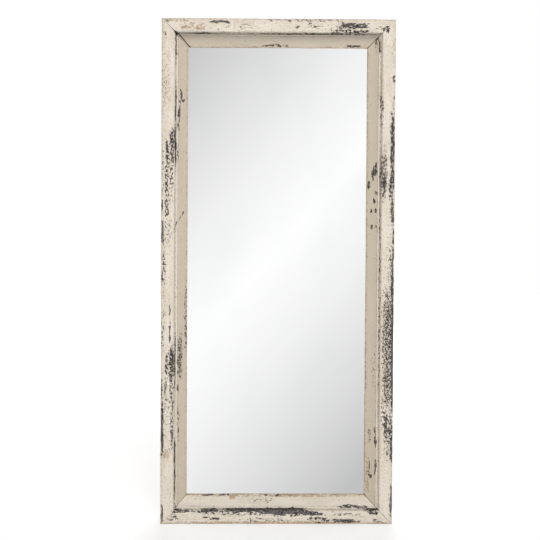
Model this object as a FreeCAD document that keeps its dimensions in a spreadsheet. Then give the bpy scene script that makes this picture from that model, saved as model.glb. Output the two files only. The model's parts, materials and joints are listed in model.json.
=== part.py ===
# Full-length wall mirror: a silvered pane in a mitred timber frame, closed by a pinned backing board and
# hung by two strap hangers with swinging D-rings.
# Millimetres. X runs along the width, Y from the room to the wall and Z up.
# The origin is the middle of the underside of the bottom rail.
import FreeCAD
import Part
import Sketcher
import math
import os
import re

SIZES = {
    # The frame as a whole
    "overall_width": 600,
    "overall_height": 1300,
    "rail_width": 67,
    "cut_overrun": 5,
    # The moulding, from its outer edge to its lip
    "outer_arris_radius": 4,
    "back_arris": 1,
    "face_width": 35,
    "face_round_radius": 6,
    "groove_width": 2.5,
    "groove_wall": 0.5,
    "bead_radius": 2.5,
    "bead_setback": 13.5,
    "lip_flat": 0.8,
    "lip_round_radius": 1.2,
    "lip_thickness": 4,
    # The stepped rebate and what sits in it
    "glass_recess": 36,
    "glass_bite": 10,
    "glass_thickness": 4,
    "glass_clearance": 1.5,
    "glass_arris": 0.5,
    "ledge_width": 10,
    "board_thickness": 3,
    "board_clearance": 0.5,
    "board_setback": 5,
    # The framing points that hold the backing board
    "stile_point_count": 4,
    "rail_point_count": 2,
    "point_end_margin": 150,
    "point_width": 10,
    "point_sheet": 0.8,
    "point_overlap": 9,
    "point_bite": 3,
    "point_tip": 5,
    # The V-nails across the mitres
    "nail_leg": 8,
    "nail_sheet": 0.8,
    "nail_depth": 12,
    "nail_half_angle": 35,
    # The strap hangers, their rings and their screws
    "hanger_drop": 250,
    "strap_sheet": 1.2,
    "strap_width": 16,
    "strap_neck": 6,
    "strap_tail": 9,
    "strap_end_radius": 6,
    "ring_wire_radius": 1.6,
    "ring_pivot_clearance": 0.1,
    "ring_side_gap": 1.5,
    "ring_bend_radius": 3.5,
    "ring_leg": 4,
    "ring_rest_gap": 0.3,
    "screw_ring_gap": 2,
    "hanger_screw_pitch": 14,
    "hanger_screw_radius": 2,
    "hanger_screw_grip": 18,
    "hanger_head_radius": 3.8,
    "hanger_head_height": 2.4,
    "screw_hole_clearance": 0.2,
    "pilot_clearance": 0.05,
    "pilot_relief": 0.5,
    "screw_point_length": 2,
    "drive_width": 1,
    "drive_length": 3.2,
    "drive_depth": 1,
    # The wall bumpers
    "bumper_base_radius": 6,
    "bumper_tip_radius": 5,
    "bumper_height": 6,
    "bumper_edge": 0.8,
    "bumper_rise": 35,
}

# Share of a screw head's height that is its straight side, and of its radius that is its flat top
HEAD_SIDE_SHARE = 0.45
HEAD_TOP_SHARE = 0.6
# Flats round the wire of a ring, few enough to keep the mesh light
WIRE_SIDES = 12
# Where the V-nails of a mitre lie, as shares of the width of the back strip
NAIL_PLACE_SHARES = (0.26, 0.68)
# How near two places must be to count as the same
SAME_PLACE = 1e-6

# Places across the moulding, measured from its outer edge
GROOVE_END = "(face_width + groove_width)"
BEAD_TOP = f"({GROOVE_END} + bead_radius)"
BEAD_END = f"({GROOVE_END} + 2 * bead_radius)"
LIP_START = "(rail_width - lip_round_radius - lip_flat)"
LIP_ROUND = "(rail_width - lip_round_radius)"
GLASS_WALL = "(rail_width - glass_bite)"
BOARD_WALL = f"({GLASS_WALL} - ledge_width)"
STRIP_MIDDLE = f"({BOARD_WALL} / 2)"

# Places through the depth, with the middle of the frame at zero
FRAME_DEPTH = "(glass_recess + glass_thickness + board_thickness + board_setback)"
FRONT = f"(-{FRAME_DEPTH} / 2)"
BACK = f"({FRAME_DEPTH} / 2)"
BEAD_LEVEL = f"({FRONT} + bead_setback)"
GROOVE_LEVEL = f"({BEAD_LEVEL} + groove_wall)"
GLASS_LEVEL = f"({FRONT} + glass_recess)"
LIP_LEVEL = f"({GLASS_LEVEL} - lip_thickness)"
LEDGE_LEVEL = f"({GLASS_LEVEL} + glass_thickness)"
BOARD_BACK = f"({LEDGE_LEVEL} + board_thickness)"

# The hangers: the strap's eye, the ring's line and the screws below the pivot
EYE_BORE = "(ring_wire_radius + ring_pivot_clearance)"
EYE_RADIUS = f"({EYE_BORE} + strap_sheet)"
RING_BAR = "(strap_width / 2 + ring_side_gap)"
RING_SIDE = f"({RING_BAR} + ring_bend_radius)"
RING_LEG_END = "(ring_bend_radius + ring_leg)"
RING_REACH = f"({RING_LEG_END} + {RING_SIDE})"
RING_TILT = f"asin((strap_sheet + ring_rest_gap - ring_pivot_clearance) / {RING_REACH})"
UPPER_SCREW = f"({RING_REACH} + ring_wire_radius + screw_ring_gap + hanger_head_radius)"
LOWER_SCREW = f"({UPPER_SCREW} + hanger_screw_pitch)"
STRAP_LENGTH = f"({LOWER_SCREW} + strap_tail)"
HANGER_SIDE = f"(overall_width / 2 - {STRIP_MIDDLE})"
PIVOT_HEIGHT = "(overall_height - hanger_drop)"

# The outline of the moulding as (depth, across), with (radius, side) where an arc leads to the next corner
MOULDING = (
    (f"{FRONT} + outer_arris_radius", "0", "outer_arris_radius", -1),
    (FRONT, "outer_arris_radius"),
    (FRONT, "face_width - face_round_radius", "face_round_radius", -1),
    (f"{FRONT} + face_round_radius", "face_width"),
    (GROOVE_LEVEL, "face_width"),
    (GROOVE_LEVEL, GROOVE_END),
    (BEAD_LEVEL, GROOVE_END, "bead_radius", -1),
    (f"{BEAD_LEVEL} - bead_radius", BEAD_TOP, "bead_radius", -1),
    (BEAD_LEVEL, BEAD_END),
    (LIP_LEVEL, LIP_START),
    (LIP_LEVEL, LIP_ROUND, "lip_round_radius", -1),
    (f"{LIP_LEVEL} + lip_round_radius", "rail_width"),
    (GLASS_LEVEL, "rail_width"),
    (GLASS_LEVEL, GLASS_WALL),
    (LEDGE_LEVEL, GLASS_WALL),
    (LEDGE_LEVEL, BOARD_WALL),
    (BACK, BOARD_WALL),
    (BACK, "back_arris"),
    (f"{BACK} - back_arris", "0"),
)

DOC = FreeCAD.newDocument("FullLengthMirror")
SHEET = DOC.addObject("Spreadsheet::Sheet", "Sizes")


def fill_sheet():
    """Write each size to a cell of the sheet, under its own name."""
    for row, (alias, number) in enumerate(SIZES.items(), start=1):
        SHEET.set(f"A{row}", alias)
        SHEET.set(f"B{row}", str(number))
        SHEET.setAlias(f"B{row}", alias)
    DOC.recompute()


def linked(formula):
    """The formula with every size name pointing at its cell."""
    return re.sub(r"[a-z][a-z_]+", lambda m: f"Sizes.{m[0]}" if m[0] in SIZES else m[0], formula)


def value(formula):
    """The number that a formula of sizes gives."""
    return float(SHEET.evalExpression(formula))


def bind(thing, prop, formula):
    """Tie a property to a formula of sizes."""
    thing.setExpression(prop, linked(formula))


def origin_feature(body, role):
    """A plane or axis of the body's own origin."""
    return next(f for f in body.Origin.OriginFeatures if f.Role == role)


def new_sketch(body, name, role, offset="0"):
    """A sketch on one of the body's origin planes, moved along the plane's normal."""
    sketch = body.newObject("Sketcher::SketchObject", name)
    sketch.AttachmentSupport = [(origin_feature(body, role), "")]
    sketch.MapMode = "FlatFace"
    bind(sketch, "AttachmentOffset.Base.z", offset)
    return sketch


def fix(sketch, kind, formula, *where):
    """Add a dimension to a sketch that follows a formula of sizes."""
    index = sketch.addConstraint(Sketcher.Constraint(kind, *where, value(formula)))
    name = f"{kind}_{index}"
    sketch.renameConstraint(index, name)
    bind(sketch, f"Constraints.{name}", formula)


def fix_point(sketch, geometry, position, across, up):
    """Hold a point of a sketch at formulas of sizes. A formula of 0 holds it on that axis."""
    for kind, formula, axis in (("DistanceX", across, -2), ("DistanceY", up, -1)):
        if formula == "0":
            sketch.addConstraint(Sketcher.Constraint("PointOnObject", geometry, position, axis))
        else:
            fix(sketch, kind, formula, -1, 1, geometry, position)


def arc_between(start, end, radius, side):
    """The arc of under a half turn from start to end, which turns left where side is 1 and right at -1."""
    chord = end - start
    left = FreeCAD.Vector(-chord.y, chord.x, 0).normalize()
    reach = math.sqrt(radius**2 - (chord.Length / 2) ** 2)
    centre = (start + end) / 2 + left * (reach * side)
    ends = (start, end) if side > 0 else (end, start)
    angles = [math.atan2(p.y - centre.y, p.x - centre.x) for p in ends]
    return Part.ArcOfCircle(Part.Circle(centre, FreeCAD.Vector(0, 0, 1), radius), *angles)


def draw_outline(sketch, corners):
    """Draw a closed outline through corners as (across, up), with (radius, side) where an arc follows."""
    points = [FreeCAD.Vector(value(across), value(up), 0) for across, up, *_ in corners]
    edges = []
    for (_, _, *arc), start, end in zip(corners, points, points[1:] + points[:1]):
        if arc:
            radius, side = arc
            geometry = sketch.addGeometry(arc_between(start, end, value(radius), side))
            fix(sketch, "Radius", radius, geometry)
            edges.append((geometry, 1, 2) if side > 0 else (geometry, 2, 1))
        else:
            geometry = sketch.addGeometry(Part.LineSegment(start, end))
            edges.append((geometry, 1, 2))
    for (before, _, last), (after, first, _) in zip(edges, edges[1:] + edges[:1]):
        sketch.addConstraint(Sketcher.Constraint("Coincident", before, last, after, first))
    for (across, up, *_), (geometry, first, _) in zip(corners, edges):
        fix_point(sketch, geometry, first, across, up)


def draw_circle(sketch, across, up, radius):
    """Draw a circle."""
    centre = FreeCAD.Vector(value(across), value(up), 0)
    geometry = sketch.addGeometry(Part.Circle(centre, FreeCAD.Vector(0, 0, 1), value(radius)))
    fix_point(sketch, geometry, 3, across, up)
    fix(sketch, "Radius", radius, geometry)


def add_pad(body, sketch, length, both_ways=False):
    """Extrude a sketch along its normal."""
    pad = body.newObject("PartDesign::Pad", f"{sketch.Name}_pad")
    pad.Profile = sketch
    pad.SideType = "Symmetric" if both_ways else "One side"
    bind(pad, "Length", length)
    return pad


def add_pocket(body, sketch, depth=None):
    """Cut a sketch along its normal to a depth, or through everything both ways."""
    DOC.recompute()
    before = body.Shape.Volume
    pocket = body.newObject("PartDesign::Pocket", f"{sketch.Name}_pocket")
    pocket.Profile = sketch
    if depth is None:
        pocket.Type = "ThroughAll"
        pocket.SideType = "Symmetric"
    else:
        pocket.Reversed = True
        bind(pocket, "Length", depth)
    DOC.recompute()
    if body.Shape.Volume >= before:
        raise RuntimeError(f"{pocket.Name} cuts nothing")
    return pocket


def place(thing, across, depth, height):
    """Tie a thing's place to formulas of sizes."""
    for axis, formula in zip("xyz", (across, depth, height)):
        bind(thing, f"Placement.Base.{axis}", formula)


def copies(name, master, placements):
    """One group of separate copies of a master solid."""
    group = DOC.addObject("Part::Feature", name)
    group.Shape = Part.makeCompound([master.Shape.transformed(p.toMatrix()) for p in placements])
    return group


def point_places(length, count):
    """Evenly spaced places about the middle of a side of that length."""
    run = value(f"{length} - 2 * point_end_margin")
    gaps = int(value(count)) - 1
    return [run * (step / gaps - 1 / 2) for step in range(gaps + 1)]


def make_side(name, length, turn, across, height, steelwork, hanger_end=None):
    """One side of the frame, made along X with its outer edge at Z zero and then turned into place.

    The steelwork driven into it is cut out of it. hanger_end is 1 or -1 where the side carries a hanger,
    towards that end of its length.
    """
    body = DOC.addObject("PartDesign::Body", f"{name}_moulding")
    profile = new_sketch(body, f"{name}_profile", "YZ_Plane")
    draw_outline(profile, MOULDING)
    add_pad(body, profile, length, both_ways=True)

    mitres = new_sketch(body, f"{name}_mitres", "XZ_Plane")
    for end in (1, -1):
        outside = f"{end} * ({length} / 2 + cut_overrun)"
        inside = f"{end} * ({length} / 2 - rail_width - cut_overrun)"
        beyond = "rail_width + cut_overrun"
        draw_outline(mitres, ((outside, "-cut_overrun"), (outside, beyond), (inside, beyond)))
    add_pocket(body, mitres)

    if hanger_end:
        fixings = new_sketch(body, f"{name}_hanger_pilots", "XZ_Plane", f"-{BACK}")
        for drop in (UPPER_SCREW, LOWER_SCREW):
            along = f"{hanger_end} * ({length} / 2 - hanger_drop - {drop})"
            draw_circle(fixings, along, STRIP_MIDDLE, "hanger_screw_radius + pilot_clearance")
        add_pocket(body, fixings, "hanger_screw_grip + pilot_relief")

    body.Placement.Rotation = FreeCAD.Rotation(FreeCAD.Vector(0, 1, 0), turn)
    place(body, across, "0", height)
    side = DOC.addObject("Part::Cut", name)
    side.Base = body
    side.Tool = steelwork
    return side


def make_nails():
    """The V-nails, flush with the back, two across each mitre, open towards the outer corner."""
    body = DOC.addObject("PartDesign::Body", "nail_master")
    outline = new_sketch(body, "nail_outline", "XZ_Plane")
    leg_along = "nail_leg * cos(nail_half_angle * 1deg)"
    leg_aside = "nail_leg * sin(nail_half_angle * 1deg)"
    tip_along = f"{leg_along} + nail_sheet * sin(nail_half_angle * 1deg)"
    tip_aside = f"{leg_aside} - nail_sheet * cos(nail_half_angle * 1deg)"
    crotch = "nail_sheet / sin(nail_half_angle * 1deg)"
    corners = (
        ("0", "0"),
        (leg_along, f"-({leg_aside})"),
        (tip_along, f"-({tip_aside})"),
        (crotch, "0"),
        (tip_along, tip_aside),
        (leg_along, leg_aside),
    )
    draw_outline(outline, corners)
    add_pad(body, outline, "nail_depth")
    DOC.recompute()
    half_width = value("overall_width / 2")
    half_height = value("overall_height / 2")
    back = value(BACK)
    placements = []
    for right in (1, -1):
        for top in (1, -1):
            turn = FreeCAD.Rotation(FreeCAD.Vector(0, 1, 0), math.degrees(math.atan2(-top, right)))
            for share in NAIL_PLACE_SHARES:
                inset = share * value(BOARD_WALL)
                across = right * (half_width - inset)
                height = half_height + top * (half_height - inset)
                placements.append(FreeCAD.Placement(FreeCAD.Vector(across, back, height), turn))
    return copies("mitre_v_nails", body, placements)


def make_slab(name, wall, clearance, back, thickness):
    """A sheet that stands on the rebate wall of the bottom rail, with clearance at the other sides."""
    body = DOC.addObject("PartDesign::Body", name)
    outline = new_sketch(body, f"{name}_outline", "XZ_Plane", f"-{back}")
    side = f"overall_width / 2 - {wall} - {clearance}"
    top = f"overall_height - {wall} - 2 * {clearance}"
    draw_outline(outline, ((f"-({side})", wall), (side, wall), (side, top), (f"-({side})", top)))
    add_pad(body, outline, thickness)
    return body


def make_glass():
    """The silvered pane, with ground arrises."""
    body = make_slab("mirror_glass", GLASS_WALL, "glass_clearance", LEDGE_LEVEL, "glass_thickness")
    DOC.recompute()
    sheet = body.Tip
    arris = body.newObject("PartDesign::Chamfer", "glass_ground_arris")
    arris.Base = (sheet, [f"Edge{number}" for number, _ in enumerate(sheet.Shape.Edges, start=1)])
    bind(arris, "Size", "glass_arris")
    return body


def make_points():
    """The framing points: flat steel darts driven out of the rebate into the sides, behind the board."""
    body = DOC.addObject("PartDesign::Body", "point_master")
    outline = new_sketch(body, "point_outline", "XZ_Plane")
    half = "point_width / 2"
    corners = (
        (f"-{half}", "point_overlap"),
        (f"-{half}", "-point_bite"),
        ("0", "-point_bite - point_tip"),
        (half, "-point_bite"),
        (half, "point_overlap"),
    )
    draw_outline(outline, corners)
    steel = add_pad(body, outline, "point_sheet")
    steel.Reversed = True
    DOC.recompute()
    half_width = value("overall_width / 2")
    half_height = value("overall_height / 2")
    inset = value(BOARD_WALL)
    places = []
    for end in (1, -1):
        for along in point_places("overall_height", "stile_point_count"):
            places.append((end * (half_width - inset), half_height + along, -90 * end))
        for along in point_places("overall_width", "rail_point_count"):
            places.append((along, half_height + end * (half_height - inset), 90 + 90 * end))
    seat = value(BOARD_BACK)
    placements = []
    for x, z, angle in places:
        turn = FreeCAD.Rotation(FreeCAD.Vector(0, 1, 0), angle)
        placements.append(FreeCAD.Placement(FreeCAD.Vector(x, seat, z), turn))
    return copies("framing_points", body, placements)


def turn_about_y(body, half, name):
    """Turn half an outline into a round solid about the Y axis."""
    turned = body.newObject("PartDesign::Revolution", name)
    turned.Profile = half
    turned.ReferenceAxis = (half, ["V_Axis"])


def make_screw():
    """A pan-head screw along Y, with the underside of its head at zero and a cross recess."""
    body = DOC.addObject("PartDesign::Body", "screw_master")
    half = new_sketch(body, "screw_half", "XY_Plane")
    length = "(2 * strap_sheet + hanger_screw_grip)"
    corners = (
        ("0", f"-{length}"),
        ("hanger_screw_radius", f"screw_point_length - {length}"),
        ("hanger_screw_radius", "0"),
        ("hanger_head_radius", "0"),
        ("hanger_head_radius", f"{HEAD_SIDE_SHARE} * hanger_head_height"),
        (f"{HEAD_TOP_SHARE} * hanger_head_radius", "hanger_head_height"),
        ("0", "hanger_head_height"),
    )
    draw_outline(half, corners)
    turn_about_y(body, half, "screw_turned")

    drive = new_sketch(body, "screw_drive", "XZ_Plane", "-hanger_head_height")
    long = "drive_length / 2"
    short = "drive_width / 2"
    quarter = ((long, short), (short, short), (short, long))
    cross = []
    for right, up in ((1, 1), (-1, 1), (-1, -1), (1, -1)):
        corner = [(f"{right} * {a}", f"{up} * {b}") for a, b in quarter]
        cross += corner if right == up else corner[::-1]
    draw_outline(drive, cross)
    add_pocket(body, drive, "drive_depth")
    return body


def make_strap(name, side):
    """A strip folded round the ring's bar, with both layers screwed to the stile."""
    body = DOC.addObject("PartDesign::Body", name)
    profile = new_sketch(body, f"{name}_profile", "YZ_Plane")
    end = f"-{STRAP_LENGTH}"
    corners = (
        ("0", end),
        ("0", "0", EYE_RADIUS, -1),
        (EYE_RADIUS, EYE_RADIUS, EYE_RADIUS, -1),
        (f"2 * {EYE_RADIUS}", "0"),
        ("2 * strap_sheet", "-strap_neck"),
        ("2 * strap_sheet", end),
    )
    draw_outline(profile, corners)
    draw_circle(profile, EYE_RADIUS, "0", EYE_BORE)
    add_pad(body, profile, "strap_width", both_ways=True)

    holes = new_sketch(body, f"{name}_holes", "XZ_Plane")
    for drop in (UPPER_SCREW, LOWER_SCREW):
        draw_circle(holes, "0", f"-{drop}", "hanger_screw_radius + screw_hole_clearance")
    holed = add_pocket(body, holes)

    foot = -value(STRAP_LENGTH)
    corner_edges = []
    for number, edge in enumerate(holed.Shape.Edges, start=1):
        at_foot = all(math.isclose(v.Z, foot, abs_tol=SAME_PLACE) for v in edge.Vertexes)
        if at_foot and edge.BoundBox.XLength < SAME_PLACE:
            corner_edges.append(f"Edge{number}")
    rounded = body.newObject("PartDesign::Fillet", f"{name}_rounded_end")
    rounded.Base = (holed, corner_edges)
    bind(rounded, "Radius", "min(strap_end_radius; strap_width / 2 - screw_hole_clearance)")
    place(body, f"{side} * {HANGER_SIDE}", BACK, PIVOT_HEIGHT)
    return body


def make_ring(name, side):
    """A wire D-ring that hangs from its bar and lies against the strap."""
    body = DOC.addObject("PartDesign::Body", name)
    line = new_sketch(body, f"{name}_line", "XZ_Plane")
    corners = (
        ("0", "0"),
        (RING_BAR, "0", "ring_bend_radius", -1),
        (RING_SIDE, "-ring_bend_radius"),
        (RING_SIDE, f"-{RING_LEG_END}", RING_SIDE, -1),
        ("0", f"-{RING_REACH}", RING_SIDE, -1),
        (f"-{RING_SIDE}", f"-{RING_LEG_END}"),
        (f"-{RING_SIDE}", "-ring_bend_radius", "ring_bend_radius", -1),
        (f"-{RING_BAR}", "0"),
    )
    draw_outline(line, corners)
    section = new_sketch(body, f"{name}_section", "YZ_Plane")
    angles = [f"{(side_count + 1 / 2) * 360 / WIRE_SIDES} * 1deg" for side_count in range(WIRE_SIDES)]
    draw_outline(section, [(f"ring_wire_radius * cos({a})", f"ring_wire_radius * sin({a})") for a in angles])
    wire = body.newObject("PartDesign::AdditivePipe", f"{name}_wire")
    wire.Profile = section
    wire.Spine = (line, [])
    body.Placement.Rotation = FreeCAD.Rotation(FreeCAD.Vector(1, 0, 0), 1)
    bind(body, "Placement.Rotation.Angle", RING_TILT)
    place(body, f"{side} * {HANGER_SIDE}", f"{BACK} + {EYE_RADIUS}", PIVOT_HEIGHT)
    return body


def make_hanger_screws():
    """The screws of the two straps."""
    master = make_screw()
    seat = value(f"{BACK} + 2 * strap_sheet")
    turn = FreeCAD.Rotation()
    placements = []
    for side in (-1, 1):
        for drop in (UPPER_SCREW, LOWER_SCREW):
            place_of = FreeCAD.Vector(side * value(HANGER_SIDE), seat, value(f"{PIVOT_HEIGHT} - {drop}"))
            placements.append(FreeCAD.Placement(place_of, turn))
    return copies("hanger_screws", master, placements)


def make_bumpers():
    """The two wall bumpers, low on the stiles."""
    body = DOC.addObject("PartDesign::Body", "bumper_master")
    half = new_sketch(body, "bumper_half", "XY_Plane")
    corners = (
        ("0", "0"),
        ("bumper_base_radius", "0"),
        ("bumper_tip_radius", "bumper_height - bumper_edge"),
        ("bumper_tip_radius - bumper_edge", "bumper_height"),
        ("0", "bumper_height"),
    )
    draw_outline(half, corners)
    turn_about_y(body, half, "bumper_turned")
    DOC.recompute()
    height = value("rail_width + bumper_rise")
    turn = FreeCAD.Rotation()
    places = [FreeCAD.Vector(side * value(HANGER_SIDE), value(BACK), height) for side in (-1, 1)]
    return copies("wall_bumpers", body, [FreeCAD.Placement(p, turn) for p in places])


def make_pieces():
    """Every piece of the mirror."""
    steelwork = DOC.addObject("Part::Compound", "steelwork")
    steelwork.Links = [make_nails(), make_points()]
    half_width = "overall_width / 2"
    half_height = "overall_height / 2"
    pieces = [
        *steelwork.Links,
        make_side("bottom_rail", "overall_width", 0, "0", "0", steelwork),
        make_side("top_rail", "overall_width", 180, "0", "overall_height", steelwork),
        make_side("left_stile", "overall_height", 90, f"-{half_width}", half_height, steelwork, -1),
        make_side("right_stile", "overall_height", -90, half_width, half_height, steelwork, 1),
        make_glass(),
        make_slab("backing_board", BOARD_WALL, "board_clearance", BOARD_BACK, "board_thickness"),
        make_hanger_screws(),
        make_bumpers(),
    ]
    for hand, side in (("left", -1), ("right", 1)):
        pieces.append(make_strap(f"hanger_strap_{hand}", side))
        pieces.append(make_ring(f"hanger_ring_{hand}", side))
    return pieces


def write_pieces(pieces):
    """Check every object and every piece, then write one file for each piece."""
    DOC.recompute()
    for thing in DOC.Objects:
        if {"Invalid", "Error"} & set(thing.State):
            raise RuntimeError(f"{thing.Name} failed: {thing.State}")
    for piece in pieces:
        if piece.Shape.isNull() or not piece.Shape.isValid() or not piece.Shape.Solids:
            raise RuntimeError(f"{piece.Label} has no valid solid")
    os.makedirs("parts", exist_ok=True)
    for piece in pieces:
        piece.Shape.exportStep(f"parts/{piece.Label}.step")
        print(f"{piece.Label}: {len(piece.Shape.Solids)} solids, {piece.Shape.Volume:.1f} mm3")


fill_sheet()
write_pieces(make_pieces())
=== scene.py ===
"""Dresses the full-length mirror: distressed cream paint on a mitred frame, a silvered pane and its back."""

import json
import logging
import math
from dataclasses import dataclass, field, replace
from enum import Enum
from typing import Any, ClassVar, Sequence, Union

import bpy
import numpy as np
from mathutils import Matrix, Vector


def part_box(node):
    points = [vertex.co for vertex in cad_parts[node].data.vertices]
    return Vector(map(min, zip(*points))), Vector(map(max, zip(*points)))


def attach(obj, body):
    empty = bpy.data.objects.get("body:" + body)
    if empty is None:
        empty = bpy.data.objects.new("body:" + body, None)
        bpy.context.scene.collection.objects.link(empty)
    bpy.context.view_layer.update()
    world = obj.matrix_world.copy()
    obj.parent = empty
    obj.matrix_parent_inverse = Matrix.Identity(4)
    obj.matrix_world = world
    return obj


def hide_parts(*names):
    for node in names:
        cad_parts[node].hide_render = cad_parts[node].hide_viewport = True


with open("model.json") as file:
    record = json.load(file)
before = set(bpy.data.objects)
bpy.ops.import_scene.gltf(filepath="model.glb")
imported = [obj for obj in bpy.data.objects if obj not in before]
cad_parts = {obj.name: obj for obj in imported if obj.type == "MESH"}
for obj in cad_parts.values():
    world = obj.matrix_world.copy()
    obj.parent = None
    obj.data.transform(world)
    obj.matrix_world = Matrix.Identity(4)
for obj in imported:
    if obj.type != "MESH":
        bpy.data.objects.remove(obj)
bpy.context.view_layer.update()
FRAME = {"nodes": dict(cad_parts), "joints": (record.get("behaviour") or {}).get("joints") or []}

LOG = logging.getLogger("mirror")
MM = 0.001
NOISE_MIDDLE = 0.5

Colour = tuple[float, float, float, float]
Place = tuple[float, float, float]
Band = tuple[float, float]
Array = np.ndarray
Value = Union[float, "Signal"]
Tint = Union[Colour, "Signal"]


def srgb(red: int, green: int, blue: int) -> Colour:
    """Turn a display colour into the linear colour that a shader takes.

    Args:
        red: Red from 0 to 255.
        green: Green from 0 to 255.
        blue: Blue from 0 to 255.

    Returns:
        The linear colour with full alpha.
    """
    linear = []
    for level in (red, green, blue):
        share = level / 255
        linear.append(share / 12.92 if share <= 0.04045 else ((share + 0.055) / 1.055) ** 2.4)
    return (*linear, 1.0)


def grey(level: float) -> Colour:
    """A linear grey with full alpha."""
    return (level, level, level, 1.0)


WHITE = grey(1.0)


class Signal:
    """A socket of a node tree that takes part in arithmetic on values."""

    def __init__(self, graph: "Graph", socket: bpy.types.NodeSocket) -> None:
        """Keep the socket with the graph that its arithmetic grows in."""
        self.graph = graph
        self.socket = socket

    def __add__(self, other: Value) -> "Signal":
        """Add a value."""
        return self.graph.maths("ADD", self, other)

    __radd__ = __add__

    def __sub__(self, other: Value) -> "Signal":
        """Take a value away."""
        return self.graph.maths("SUBTRACT", self, other)

    def __rsub__(self, other: Value) -> "Signal":
        """Take this away from a value."""
        return self.graph.maths("SUBTRACT", other, self)

    def __mul__(self, other: Value) -> "Signal":
        """Multiply by a value."""
        return self.graph.maths("MULTIPLY", self, other)

    __rmul__ = __mul__

    def __abs__(self) -> "Signal":
        """The distance from zero."""
        return self.graph.maths("ABSOLUTE", self)

    def above(self, low: float, high: float) -> "Signal":
        """Rise smoothly from 0 at low to 1 at high."""
        inputs = {"Value": self, "From Min": low, "From Max": high}
        return self.graph.node("ShaderNodeMapRange", {"interpolation_type": "SMOOTHSTEP"}, inputs)

    def below(self, low: float, high: float) -> "Signal":
        """Fall smoothly from 1 at low to 0 at high."""
        return 1 - self.above(low, high)

    def most(self, other: Value) -> "Signal":
        """The larger of this and a value."""
        return self.graph.maths("MAXIMUM", self, other)


@dataclass(frozen=True)
class Grain:
    """Cloudy noise: blots per metre along each axis, octaves of finer noise and how strong those are."""

    scales: Place
    detail: float = 3.0
    roughness: float = 0.55


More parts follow.
